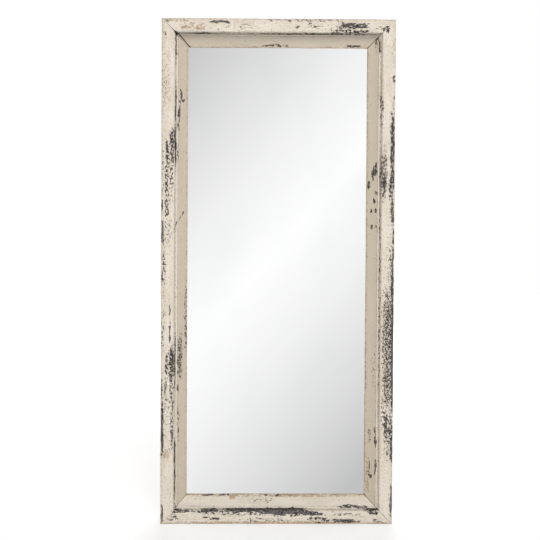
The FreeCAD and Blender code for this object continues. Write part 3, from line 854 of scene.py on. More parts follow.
WEAR = {
    Side.TOP: Wear(
        scrapes=(
            Scrape(146, 8.5, 52, 6, 2.0), Scrape(166, 12, 14, 4, 0.9), Scrape(12, 6, 18, 8, 0.7),
            Scrape(178, 21, 140, 24, 0.16), Scrape(200, 21, 8, 5, 0.9), Scrape(300, 4, 60, 6, 0.5),
            Scrape(347, 22, 9, 6, 1.3), Scrape(392, 17, 40, 14, 0.38), Scrape(392, 4, 150, 7, 0.5),
            Scrape(492, 18, 80, 16, 0.85), Scrape(472, 11, 40, 8, 0.6), Scrape(488, 31, 100, 7, 0.8),
            Scrape(560, 24, 30, 14, 0.34), Scrape(578, 24, 18, 22, 0.9), Scrape(292, 63, 76, 5, 0.7),
            Scrape(500, 63, 44, 6, 0.8), Scrape(105, 36, 70, 3, 0.6), Scrape(420, 36, 330, 3, 0.7),
        ),
        scours=(Scrape(480, 20, 90, 16, 0.3), Scrape(230, 20, 60, 18, 0.14)),
        smears=(Scrape(82, 22, 70, 24, 0.55), Scrape(45, 6, 60, 8, 0.5), Scrape(430, 26, 90, 8, 0.4)),
        arris_rub=0.5,
        lip_rub=0.42,
        edge_wash=0.5,
        # The downward-facing top bevel gets the most painted shade
        bevel_shade_strength=0.55,
        groove_dirt_and_shade=0.6,
        bevel_tint_and_shade=0.75,
        start=Mitre(0.4, 3.2, 5.0, 6.0),
        end=Mitre(0.4, 1.6),
    ),
    Side.LEFT: Wear(
        scrapes=(
            Scrape(38, 8, 9, 7, 0.75), Scrape(60, 36.5, 110, 3, 0.75), Scrape(212, 36.5, 96, 3.6, 1.8),
            Scrape(325, 36.3, 120, 4, 1.1), Scrape(196, 50, 24, 6, 1.3, 0.6), Scrape(206, 57, 9, 8, 1.2),
            Scrape(235, 45, 44, 5, 1.1), Scrape(270, 44, 30, 5, 0.7), Scrape(343, 15, 62, 9, 0.85),
            Scrape(328, 28, 96, 12, 0.76), Scrape(304, 33, 70, 6, 0.6), Scrape(410, 14, 96, 9, 0.7),
            Scrape(404, 27, 56, 9, 0.65), Scrape(410, 19, 170, 22, 0.36), Scrape(345, 43, 60, 5, 0.5),
            Scrape(474, 14, 80, 10, 0.66), Scrape(395, 5, 160, 5, 0.45), Scrape(478, 3, 32, 5, 0.9),
            Scrape(502, 14, 24, 8, 0.75), Scrape(550, 4.2, 62, 5, 2.2, 4.0),
            Scrape(499, 55, 8, 6, 1.0, -2.0), Scrape(510, 49, 8, 7, 0.9, -2.0),
            Scrape(527, 38.5, 8, 6, 0.95, -2.0), Scrape(538, 34, 7, 5, 0.6, -2.0),
            Scrape(523, 58, 6, 4, 0.8), Scrape(542, 16, 90, 22, 0.3), Scrape(645, 8, 90, 12, 0.3),
            Scrape(626, 7, 60, 9, 0.6), Scrape(668, 4, 60, 6, 0.65), Scrape(748, 23, 40, 4, 1.3),
            Scrape(752, 11, 20, 6, 0.6), Scrape(804, 23, 52, 5, 1.05), Scrape(806, 5, 100, 9, 0.5),
            Scrape(885, 28, 96, 14, 0.9), Scrape(890, 15, 60, 6, 0.9), Scrape(876, 48, 108, 10, 0.55),
            Scrape(870, 36.3, 180, 3, 0.9), Scrape(950, 44, 30, 4, 0.8), Scrape(965, 29, 84, 12, 0.62),
            Scrape(960, 14, 90, 10, 0.5), Scrape(765, 63, 190, 6, 0.45), Scrape(820, 64, 70, 5, 0.7),
            Scrape(960, 2.5, 70, 6, 0.8), Scrape(1052, 4, 160, 8, 1.0), Scrape(1035, 17, 170, 20, 0.22),
            Scrape(1038, 45, 100, 5, 0.55), Scrape(1040, 29.5, 140, 8, 0.72),
            Scrape(1155, 36.5, 150, 3, 1.6), Scrape(1274, 4.5, 44, 5, 1.8), Scrape(1262, 40, 22, 8, 0.8),
        ),
        scours=(
            Scrape(330, 22, 110, 22, 0.2), Scrape(872, 49, 120, 14, 0.6), Scrape(890, 24, 110, 18, 0.3),
            Scrape(60, 40, 70, 8, 0.4), Scrape(175, 10, 120, 16, 0.16),
        ),
        smears=(
            Scrape(1118, 14, 26, 26, 0.6), Scrape(690, 7, 170, 14, 0.42), Scrape(140, 14, 190, 22, 0.36),
        ),
        arris_rub=0.42,
        lip_rub=0.46,
        edge_wash=0.6,
        bevel_shade_strength=0.06,
        groove_dirt_and_shade=0.36,
        bevel_tint_and_shade=0.9,
        start=Mitre(0.4, 0.4, 0.0, 6.0),
        end=Mitre(0.3, 1.0),
    ),
    Side.RIGHT: Wear(
        scrapes=(
            Scrape(25, 22, 14, 11, 0.9), Scrape(48, 47, 20, 8, 0.9), Scrape(66, 38.5, 36, 5, 1.0),
            Scrape(150, 4, 22, 7, 0.85), Scrape(200, 3, 14, 5, 0.8), Scrape(205, 36, 34, 4, 0.55),
            Scrape(346, 7, 226, 11, 0.9), Scrape(494, 6, 70, 9, 0.85), Scrape(580, 4, 100, 7, 0.9),
            Scrape(668, 5, 130, 9, 1.0), Scrape(240, 33, 112, 5, 0.45), Scrape(385, 29, 128, 16, 0.42),
            Scrape(424, 27, 56, 10, 0.95), Scrape(386, 49, 38, 10, 1.1, 2.2),
            Scrape(420, 61, 30, 7, 0.9), Scrape(443, 45, 12, 6, 1.1), Scrape(462, 49, 14, 4, 1.0),
            Scrape(487, 47, 11, 5, 1.2), Scrape(492, 56, 18, 4, 0.9), Scrape(528, 54, 13, 7, 1.0),
            Scrape(531, 45, 10, 4, 0.9), Scrape(670, 36.3, 780, 2.6, 0.5), Scrape(800, 13, 190, 24, 0.4),
            Scrape(840, 16, 240, 12, 0.36), Scrape(860, 3, 330, 8, 1.25), Scrape(950, 13, 130, 22, 0.3),
            Scrape(1040, 20, 70, 11, 0.85), Scrape(1050, 8, 76, 8, 0.75),
            Scrape(1070, 13, 130, 22, 0.38), Scrape(1090, 4, 110, 7, 1.0), Scrape(1238, 4, 80, 7, 1.7),
            Scrape(900, 48, 90, 10, 0.22), Scrape(1080, 43, 54, 4, 0.8), Scrape(1156, 43, 48, 4, 1.05),
            Scrape(1078, 56, 46, 6, 0.42), Scrape(1162, 56, 48, 5, 0.7), Scrape(1182, 53, 12, 5, 1.0),
            Scrape(1010, 28, 90, 6, 0.5), Scrape(436, 13, 52, 9, 0.75), Scrape(640, 11, 170, 14, 0.32),
        ),
        scours=(
            Scrape(395, 29, 130, 16, 0.62), Scrape(350, 8, 240, 14, 0.4), Scrape(845, 15, 310, 32, 0.74),
            Scrape(1050, 14, 110, 20, 0.4), Scrape(60, 45, 50, 10, 0.4),
        ),
        smears=(Scrape(620, 18, 110, 16, 0.32), Scrape(1190, 60, 140, 10, 0.5)),
        arris_rub=0.46,
        lip_rub=0.62,
        edge_wash=0.5,
        bevel_shade_strength=0.14,
        groove_dirt_and_shade=0.4,
        bevel_tint_and_shade=0.9,
        start=Mitre(0.4, 1.8),
        end=Mitre(0.9, 1.3),
    ),
    Side.BOTTOM: Wear(
        scrapes=(
            Scrape(42, 33, 66, 5, 1.0), Scrape(120, 33.3, 100, 5, 1.0), Scrape(232, 34.6, 150, 7, 1.3),
            Scrape(322, 32, 124, 14, 1.5), Scrape(388, 29, 62, 13, 1.4, -3.0),
            Scrape(190, 27, 220, 8, 0.42), Scrape(330, 24, 110, 8, 0.45), Scrape(476, 10, 66, 9, 1.1),
            Scrape(410, 14, 70, 10, 0.6), Scrape(452, 9, 130, 10, 0.48), Scrape(495, 41.5, 56, 7, 1.0),
            Scrape(522, 40, 30, 6, 0.8), Scrape(548, 33, 36, 11, 0.9), Scrape(552, 27, 22, 8, 0.8),
            Scrape(482, 26, 80, 8, 0.5), Scrape(140, 15, 22, 9, 0.85), Scrape(120, 19, 16, 5, 0.85),
            Scrape(268, 12, 130, 10, 0.4), Scrape(30, 20, 30, 20, 0.45),
            Scrape(560, 9, 20, 9, 0.65, -1.0), Scrape(124, 65.5, 26, 4, 1.3),
            Scrape(168, 66, 30, 2.6, 0.9), Scrape(273, 65, 9, 4, 1.5), Scrape(304, 65, 9, 4, 1.5),
            Scrape(262, 55, 70, 12, 0.3),
        ),
        scours=(Scrape(240, 28, 300, 10, 0.2),),
        smears=(Scrape(187, 61, 16, 10, 0.9), Scrape(300, 4, 560, 7, 0.7), Scrape(330, 64, 420, 6, 0.6)),
        arris_rub=1.0,
        lip_rub=0.7,
        edge_wash=0.5,
        bevel_shade_strength=0.04,
        groove_dirt_and_shade=0.4,
        # Almost no bevel tint, so the upturned bottom bevel is painted lighter
        bevel_tint_and_shade=0.05,
        start=Mitre(0.3, 1.1),
        end=Mitre(0.9, 1.5),
    ),
}


@dataclass(frozen=True)
class Ageing:
    """How strong each kind of wear, painted shade and painted highlight gets on all four lengths, and how
    far it reaches in millimetres.
    """

    stray_along: float = 13.0
    stray_across: float = 4.0
    side_fade: float = 9.0
    side_start: float = 1.0
    side_knocks: float = 0.4
    side_knock_power: int = 4
    rub_range: Band = (0.45, 1.35)
    arris_rub_reach: float = 4.2
    arris_rub_depth: float = 1.5
    lip_rub_reach: float = 3.4
    edge_rub: float = 0.3
    edge_rub_reach: float = 1.6
    wash_range: Band = (0.35, 1.45)
    edge_wash_reach: float = 11.0
    lip_wash: float = 0.75
    lip_wash_reach: float = 6.0
    drift_wash: float = 0.3
    drift_power: int = 2
    # How the painted shade on the bevels fades towards the lip
    bevel_shade_power: float = 1.8
    # Dirt and painted shade in the corner behind the bead
    bead_dirt_and_shade: float = 0.5
    bead_dirt_and_shade_reach: float = 1.2
    face_warmth: float = 0.12
    bevel_run: float = 4.0
    face_specks: float = 0.38
    bevel_specks: float = 0.12
    # Painted highlight on the crown of the bead
    bead_highlight: float = 0.4
    bead_highlight_reach: float = 2.4
    paint_fade: float = 8.0
    paint_margin: float = 0.1
    hole_squeeze: float = 0.7
    ripple: float = 0.25
    pit_depth: float = 0.3
    arris_loss: float = 1.3
    arris_loss_reach: float = 4.5
    knock_share: float = 0.7
    knock_power: int = 3
    lip_loss: float = 0.7
    lip_loss_reach: float = 2.5
    back_margin: float = 0.5
    groove_fill: float = 1.8
    fill_share: float = 0.98
    fill_scrape: float = 2.0


@dataclass(frozen=True)
class Moulding:
    """The section that all four lengths are cut from, in millimetres.

    Places are (across, depth): across runs from the outer edge to the lip, depth from the front to the back.
    """

    width: float
    depth: float
    glass_level: float
    glass_wall: float
    ledge_level: float
    board_wall: float
    pane_clearance: float = 1.5
    outer_arris: float = 4.0
    face_width: float = 35.0
    face_round: float = 6.0
    groove_level: float = 14.0
    groove_width: float = 2.5
    groove_margin: float = 0.3
    groove_rim: float = 1.0
    bead_level: float = 13.5
    bead_radius: float = 2.5
    lip_thickness: float = 4.0
    lip_flat: float = 0.8
    lip_round: float = 1.2
    back_arris: float = 1.0
    back_relief: float = 0.1
    fine_step: float = 1.0
    wall_step: float = 1.5
    side_step: float = 2.5
    coarse_step: float = 4.0
    arris_steps: int = 8
    round_steps: int = 10
    lip_steps: int = 4

    @classmethod
    def from_frame(cls) -> "Moulding":
        """Read the sizes that the CAD nodes give.

        Returns:
            The section.
        """
        rail_low, rail_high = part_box(Side.BOTTOM.value)
        glass_low, glass_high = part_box("mirror_glass")
        board_low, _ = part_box("backing_board")
        return cls(
            width=(rail_high.z - rail_low.z) / MM,
            depth=(rail_high.y - rail_low.y) / MM,
            glass_level=(glass_low.y - rail_low.y) / MM,
            glass_wall=(glass_low.x - rail_low.x) / MM - cls.pane_clearance,
            ledge_level=(glass_high.y - rail_low.y) / MM,
            board_wall=board_low.z / MM,
        )

    @property
    def groove(self) -> Band:
        """The places across where the groove starts and ends."""
        return self.face_width, self.face_width + self.groove_width

    @property
    def bead_middle(self) -> float:
        """The place across of the top of the bead."""
        return self.groove[1] + self.bead_radius

    def _line(self, step: float, *corners: Band) -> list[Band]:
        """Evenly spaced places on a line through corners.

        Args:
            step: The wanted distance between places.
            corners: The corners, from the first place on.

        Returns:
            The places up to, but not at, the last corner.
        """
        places = []
        for start, end in zip(corners, corners[1:]):
            count = max(1, round(math.dist(start, end) / step))
            run = np.subtract(end, start)
            places += [tuple(np.add(start, np.multiply(share, run))) for share in np.arange(count) / count]
        return places

    def _arc(self, centre: Band, radius: float, first: int, last: int, count: int) -> list[Band]:
        """Evenly spaced places round a centre.

        Args:
            centre: The middle of the arc.
            radius: Its radius.
            first: The angle of the first place, in degrees.
            last: The angle at the end, in degrees.
            count: How many places.

        Returns:
            The places up to, but not at, the last angle.
        """
        angles = np.radians(first + (last - first) * np.arange(count) / count)
        return [(centre[0] + radius * math.cos(a), centre[1] + radius * math.sin(a)) for a in angles]

    def outline(self) -> Array:
        """The closed section, from the back of the outer edge round the front.

        Returns:
            Rows of (across, depth).
        """
        fine = self.fine_step
        back = self.depth - self.back_relief
        side_end = back - self.back_arris
        arris = self.outer_arris
        face_end = self.face_width - self.face_round
        groove_start, groove_end = self.groove
        floor = self.groove_level
        bead = self.bead_level
        bead_end = self.bead_middle + self.bead_radius
        lip_level = self.glass_level - self.lip_thickness
        lip_arc = self.width - self.lip_round
        lip_start = lip_arc - self.lip_flat
        lip_side = lip_level + self.lip_round
        rebate = (
            (self.width, self.glass_level),
            (self.glass_wall, self.glass_level),
            (self.glass_wall, self.ledge_level),
            (self.board_wall, self.ledge_level),
            (self.board_wall, back),
            (self.back_arris, back),
        )
        return np.array(
            [
                *self._line(self.side_step, (0, side_end), (0, arris)),
                *self._arc((arris, arris), arris, 180, 270, self.arris_steps),
                *self._line(fine, (arris, 0), (face_end, 0)),
                *self._arc((face_end, self.face_round), self.face_round, 270, 360, self.round_steps),
                *self._line(self.wall_step, (groove_start, self.face_round), (groove_start, floor)),
                *self._line(fine, (groove_start, floor), (groove_end, floor), (groove_end, bead)),
                *self._arc((self.bead_middle, bead), self.bead_radius, 180, 360, self.round_steps),
                *self._line(fine, (bead_end, bead), (lip_start, lip_level), (lip_arc, lip_level)),
                *self._arc((lip_arc, lip_side), self.lip_round, 270, 360, self.lip_steps),
                *self._line(fine, (self.width, lip_side), (self.width, self.glass_level)),
                *self._line(self.coarse_step, *rebate),
                *self._line(fine, (self.back_arris, back), (0, side_end)),
            ]
        )


@dataclass(frozen=True)
class Grid:
    """Places on a length in millimetres: arrays with a row for each station and a column for each point."""

    TOUCH: ClassVar[float] = 1e-6

    along: Array
    across: Array
    depth: Array

    @property
    def outside(self) -> Array:
        """Whether each place lies on the outer side of the frame."""
        return self.across < self.TOUCH


@dataclass(frozen=True)
class Weathering:
    """The wear of one length of moulding, worked out at each place of its grid."""

    section: Moulding
    wear: Wear
    length: float
    seed: int
    ageing: Ageing = Ageing()

    def _noise(self, layer: Layer, grid: Grid) -> Array:
        """One layer of noise from 0 to 1."""
        run, breadth, seed = layer.value
        return value_noise(grid.along / run, grid.across / breadth, self.seed + seed)

    def _patchy(self, layer: Layer, limits: Band, grid: Grid) -> Array:
        """One layer of noise between two limits."""
        least, most = limits
        return least + (most - least) * self._noise(layer, grid)

    def _covered(self, patches: Sequence[Scrape], grid: Grid) -> Array:
        """How much of some patches lies on each place, with wandering outlines.

        Args:
            patches: The patches.
            grid: Places on the length.

        Returns:
            The cover of the densest patch at each place.
        """
        ageing = self.ageing
        along = grid.along + ageing.stray_along * (self._noise(Layer.STRAY_ALONG, grid) - NOISE_MIDDLE)
        across = grid.across + ageing.stray_across * (self._noise(Layer.STRAY_ACROSS, grid) - NOISE_MIDDLE)
        return np.maximum.reduce([patch.cover(along, across) for patch in patches])

    def scraped(self, grid: Grid) -> Array:
        """How much paint is scraped away, fading down the outer side.

        Args:
            grid: Places on the length.

        Returns:
            The share of paint gone at each place.
        """
        ageing = self.ageing
        cover = self._covered(self.wear.scrapes, grid)
        down = np.where(grid.outside, np.clip(grid.depth - self.section.outer_arris, 0, None), 0)
        fading = cover * np.exp(-down / ageing.side_fade)
        lot = self._noise(Layer.SIDE_KNOCKS, replace(grid, across=grid.depth))
        knocks = ageing.side_knocks * lot**ageing.side_knock_power
        return np.where(down > ageing.side_start, np.maximum(fading, knocks), cover)

    def _rubbed(self, grid: Grid) -> Array:
        """How much timber is rubbed bare, at the arrises and in smears.

        Args:
            grid: Places on the length.

        Returns:
            The share of bare timber at each place.
        """
        ageing = self.ageing
        section = self.section
        patchy = self._patchy(Layer.ARRIS_RUB, ageing.rub_range, grid)
        lip_patchy = self._patchy(Layer.LIP_RUB, ageing.rub_range, grid)
        from_arris = np.hypot(grid.across, np.clip(grid.depth - ageing.arris_rub_depth, 0, None))
        arris = self.wear.arris_rub * bell(from_arris, ageing.arris_rub_reach) * patchy
        lip = self.wear.lip_rub * bell(section.width - grid.across, ageing.lip_rub_reach) * lip_patchy
        edge = ageing.edge_rub * bell(grid.across - section.face_width, ageing.edge_rub_reach) * patchy
        smears = [smear.cover(grid.along, grid.across) for smear in self.wear.smears]
        return np.maximum.reduce([arris, lip, edge, *smears])

    def _washed(self, grid: Grid) -> Array:
        """How far the paint has yellowed, most at the outer edge and at the lip.

        Args:
            grid: Places on the length.

        Returns:
            The share at each place.
        """
        ageing = self.ageing
        patchy = self._patchy(Layer.WASH, ageing.wash_range, grid)
        edge = self.wear.edge_wash * bell(grid.across, ageing.edge_wash_reach) * patchy
        lip = ageing.lip_wash * bell(self.section.width - grid.across, ageing.lip_wash_reach) * patchy
        drift = ageing.drift_wash * self._noise(Layer.DRIFT, grid) ** ageing.drift_power
        return np.clip(np.maximum.reduce([edge, lip, drift]), 0, 1)

    def _on_bevel(self, grid: Grid, run: float) -> Array:
        """Rise from 0 on the flat face to 1 on the bevel."""
        return smooth_step((grid.across - self.section.face_width) / run)

    def _bevel_shaded(self, grid: Grid) -> Array:
        """Painted shade on the bevel, darkest at the bead and gone at the lip.

        Args:
            grid: Places on the length.

        Returns:
            The share at each place.
        """
        _, start = self.section.groove
        run = (grid.across - start) / (self.section.width - start)
        bevel_shade = self.wear.bevel_shade_strength * np.clip(1 - run, 0, 1) ** self.ageing.bevel_shade_power
        return np.where(run >= 0, bevel_shade, 0)

    def _in_groove(self, grid: Grid) -> Array:
        """Find the groove, below the rounded edge of the face.

        Args:
            grid: Places on the length.

        Returns:
            Whether each place lies in the groove.
        """
        section = self.section
        start, end = section.groove
        margin = section.groove_margin
        within = (grid.across > start - margin) & (grid.across < end + margin)
        sunk = (grid.depth > section.face_round + section.groove_rim) & (grid.depth < section.glass_level)
        return within & sunk

    def _dirtied_and_shaded(self, grid: Grid) -> Array:
        """Dirt and painted shade in the groove and in the corner behind the bead.

        Args:
            grid: Places on the length.

        Returns:
            The share at each place.
        """
        from_corner = grid.across - self.section.bead_middle - self.section.bead_radius
        behind_bead = self.ageing.bead_dirt_and_shade * bell(from_corner, self.ageing.bead_dirt_and_shade_reach)
        return np.where(self._in_groove(grid), self.wear.groove_dirt_and_shade, behind_bead)

    def _warmed_and_lit(self, grid: Grid) -> Array:
        """How warm and dark the cream is: more on the bevel, as a tone of the paint and as painted shade,
        and less on the crown of the bead, where it is a painted highlight.

        Args:
            grid: Places on the length.

        Returns:
            The warmth at each place, below 0 where the cream is painted pale as a highlight.
        """
        tint = self.wear.bevel_tint_and_shade
        bead = bell(grid.across - self.section.bead_middle, self.ageing.bead_highlight_reach)
        bevel = tint * self._on_bevel(grid, self.ageing.bevel_run)
        return self.ageing.face_warmth + bevel - (tint + self.ageing.bead_highlight) * bead

    def _specked(self, grid: Grid) -> Array:
        """How strong the specks in the paint are: less on the smoother bevel."""
        change = self.ageing.bevel_specks - self.ageing.face_specks
        return self.ageing.face_specks + change * self._on_bevel(grid, self.ageing.bevel_run)

    def _painted(self, grid: Grid) -> Array:
        """Where the length is painted: the whole front, and its outer side almost to the back.

        Args:
            grid: Places on the length.

        Returns:
            1 on paint and 0 on bare timber.
        """
        front = grid.depth < self.section.glass_level + self.ageing.paint_margin
        outer_side = smooth_step((self.section.depth - grid.depth) / self.ageing.paint_fade)
        return np.where(grid.outside, outer_side, front.astype(float))

    def _seams(self, grid: Grid) -> Array:
        """The distance to the nearer mitre, or to the gap in its groove.

        Args:
            grid: Places on the length.

        Returns:
            The distance at each place, in widths of the opening.
        """
        section = self.section
        front = grid.depth < section.glass_level
        on_bevel = self._on_bevel(grid, section.groove_width) * front
        aside = grid.across - sum(section.groove) / 2
        from_start = grid.along - grid.across
        from_end = self.length - grid.across - grid.along
        distances = []
        for run, mitre in ((from_start, self.wear.start), (from_end, self.wear.end)):
            gape = mitre.face + (mitre.bevel - mitre.face) * on_bevel
            distances.append(np.abs(run - mitre.shift * on_bevel) / gape)
            if mitre.hole:
                from_hole = np.hypot(run * self.ageing.hole_squeeze, aside) / mitre.hole
                distances.append(np.where(front, from_hole, distances[-1]))
        return np.minimum.reduce(distances)

    def worn(self, grid: Grid, scraped: Array) -> Grid:
        """Move the surface inwards where timber or paint is gone, and fill the groove with old paint.

        Args:
            grid: Places on the new length.
            scraped: Share of paint gone.

        Returns:
            Places on the worn length.
        """
        section = self.section
        ageing = self.ageing
        front = (grid.depth < section.glass_level - ageing.back_margin) & (grid.across > 0)
        ripple = ageing.ripple * self._noise(Layer.RIPPLE, grid)
        pits = ageing.pit_depth * scraped * self._noise(Layer.PITS, grid)
        knocks = ageing.knock_share * self._noise(Layer.ARRIS_KNOCKS, grid) ** ageing.knock_power
        wander = (1 - ageing.knock_share) * self._noise(Layer.ARRIS_WANDER, grid)
        near_arris = bell(np.hypot(grid.across, grid.depth), ageing.arris_loss_reach)
        arris = ageing.arris_loss * (knocks + wander) * near_arris
        near_lip = bell(section.width - grid.across, ageing.lip_loss_reach) * front
        lip = ageing.lip_loss * self._noise(Layer.LIP_WANDER, grid) * near_lip
        kept = 1 - np.clip(ageing.fill_scrape * scraped, 0, 1)
        fill_level = section.groove_level - ageing.groove_fill * kept
        filled = ageing.fill_share * np.clip(grid.depth - fill_level, 0, None) * self._in_groove(grid)
        depth = grid.depth + (ripple + pits) * front + arris - filled
        return replace(grid, across=grid.across + arris - lip, depth=depth)

    def amounts(self, grid: Grid, scraped: Array) -> dict[str, Array]:
        """The amount of each kind of wear, painted shade and painted highlight.

        Args:
            grid: Places on the length.
            scraped: Share of paint gone.

        Returns:
            The amounts at each place, by the names that the paint reads.
        """
        return {
            "scrape": scraped,
            "scour": self._covered(self.wear.scours, grid),
            "rub": self._rubbed(grid),
            "dirt_and_shade": self._dirtied_and_shaded(grid),
            "bevel_shade": self._bevel_shaded(grid),
            "wash": self._washed(grid),
            "warmth_and_light": self._warmed_and_lit(grid),
            "specks": self._specked(grid),
            "seam": self._seams(grid),
            "painted": self._painted(grid),
        }


@dataclass
class MouldingLength:
    """One mitred length of moulding, worn by hand.

    Sizes are in millimetres. In the texture map, map_ends is the share of the width that the two ends get,
    and end_width, end_start and end_height place an end there.
    """

    side: Side
    section: Moulding
    wear: Wear
    step: float = 3.2
    mitre_gap: float = 0.06
    sharp_angle: float = 38.0
    pattern_shift: float = 3.7
    map_ends: float = 0.04
    end_width: float = 0.9
    end_start: float = 0.5
    end_height: float = 0.48
    low: Vector = field(init=False)
    high: Vector = field(init=False)

    def __post_init__(self) -> None:
        """Take the place of the CAD node."""
        self.low, self.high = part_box(self.side.value)

    @property
    def length(self) -> float:
        """The outer length in millimetres."""
        span = self.high - self.low
        return (span.z if self.side.upright else span.x) / MM

    @property
    def seed(self) -> int:
        """A number of its own for each length, for its noise."""
        return list(Side).index(self.side) + 1

    def _grid(self, outline: Array) -> Grid:
        """Lay the outline out along the length, from mitre to mitre.

        Args:
            outline: The section's rows of (across, depth).

        Returns:
            The places of every station and every point of the outline.
        """
        stations = round(self.length / self.step)
        shares = np.linspace(0, 1, stations + 1)[:, None]
        across = np.repeat(outline[None, :, 0], stations + 1, axis=0)
        depth = np.repeat(outline[None, :, 1], stations + 1, axis=0)
        return Grid(across + shares * (self.length - 2 * across), across, depth)

    def _to_frame(self, grid: Grid) -> Array:
        """Turn places on the length into places in the frame.

        Args:
            grid: Places on the length.

        Returns:
            Rows of three coordinates, in metres.
        """
        along = grid.along * MM
        across = grid.across * MM
        if self.side.upright:
            left = self.side is Side.LEFT
            x = self.low.x + across if left else self.high.x - across
            z = self.high.z - along
        else:
            bottom = self.side is Side.BOTTOM
            x = self.low.x + along
            z = self.low.z + across if bottom else self.high.z - across
        return np.stack([x, self.low.y + grid.depth * MM, z], axis=-1).reshape(-1, 3)

    def _faces(self, stations: int, points: int) -> list[tuple[int, ...]]:
        """The quads between stations and the two mitred ends, wound to face outwards.

        Args:
            stations: Number of stations along.
            points: Number of points round the section.

        Returns:
            The numbers of the vertices round each face.
        """
        faces = []
        for start in range(0, (stations - 1) * points, points):
            for column in range(points):
                here = start + column
                beside = start + (column + 1) % points
                faces.append((here, beside, beside + points, here + points))
        faces.append(tuple(range(points))[::-1])
        faces.append(tuple(range((stations - 1) * points, stations * points)))
        outwards = self.side in (Side.TOP, Side.RIGHT)
        return faces if outwards else [face[::-1] for face in faces]

    def _girths(self, outline: Array) -> Array:
        """The distance round the section to each of its points, with the whole girth at the end."""
        steps = np.hypot(*(np.roll(outline, -1, axis=0) - outline).T)
        return np.concatenate([[0], np.cumsum(steps)])

    def _unwrap(self, mesh: bpy.types.Mesh, girths: Array, stations: int, outline: Array) -> None:
        """Lay the length out flat as its texture map, with the two ends beside it.

        Args:
            mesh: The mesh to map.
            girths: Distance round the section to each point.
            stations: Number of stations along.
            outline: The section's rows of (across, depth).
        """
        points = len(outline)
        end_map = outline / (self.section.width, self.section.depth)
        layer = mesh.uv_layers.new(name="OFBake")
        for polygon in mesh.polygons:
            is_end = len(polygon.vertices) == points
            places = [divmod(vertex, points) for vertex in polygon.vertices]
            columns = [column for _, column in places]
            wraps = max(columns) == points - 1 and min(columns) == 0
            for loop, (row, column) in zip(polygon.loop_indices, places):
                if is_end:
                    u = self.end_width * self.map_ends * end_map[column, 1]
                    v = (self.end_start if row else 0.0) + self.end_height * end_map[column, 0]
                else:
                    u = self.map_ends + (1 - self.map_ends) * row / (stations - 1)
                    v = girths[points if wraps and column == 0 else column] / girths[-1]
                layer.data[loop].uv = (u, v)

    def _carry(self, mesh: bpy.types.Mesh, place: Array, amounts: dict[str, Array]) -> None:
        """Store the place on the length and the wear, painted shade and painted highlight with each vertex.

        Args:
            mesh: The mesh that carries them.
            place: Places along and round the length, in metres.
            amounts: The amount of each kind of wear, painted shade and painted highlight, by its name.
        """
        layer = mesh.attributes.new("place", "FLOAT_VECTOR", "POINT")
        layer.data.foreach_set("vector", place.astype(np.float32).ravel())
        for name, amount in amounts.items():
            layer = mesh.attributes.new(name, "FLOAT", "POINT")
            layer.data.foreach_set("value", amount.astype(np.float32).ravel())

    def build(self, finish: bpy.types.Material) -> bpy.types.Object:
        """Make the length, dress it and put it in place of its CAD node.

        Args:
            finish: The painted finish.

        Returns:
            The new piece.
        """
        outline = self.section.outline()
        grid = self._grid(outline)
        stations, points = grid.along.shape
        weathering = Weathering(self.section, self.wear, self.length, self.seed)
        scraped = weathering.scraped(grid)
        worn = weathering.worn(grid, scraped)
        along = np.clip(grid.along, grid.along[:1] + self.mitre_gap, grid.along[-1:] - self.mitre_gap)
        vertices = self._to_frame(replace(worn, along=along)).tolist()
        piece = add_mesh(f"{self.side.value}_painted", vertices, self._faces(stations, points), finish)

        mesh = piece.data
        mesh.set_sharp_from_angle(angle=math.radians(self.sharp_angle))
        girths = self._girths(outline)
        around = np.repeat(girths[None, :-1], stations, axis=0)
        pattern = np.full_like(along, self.seed * self.pattern_shift)
        place = np.stack([along * MM, around * MM, pattern], axis=-1)
        self._carry(mesh, place, weathering.amounts(replace(grid, along=along), scraped))
        self._unwrap(mesh, girths, stations, outline)
        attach(piece, "frame")
        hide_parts(self.side.value)
        return piece


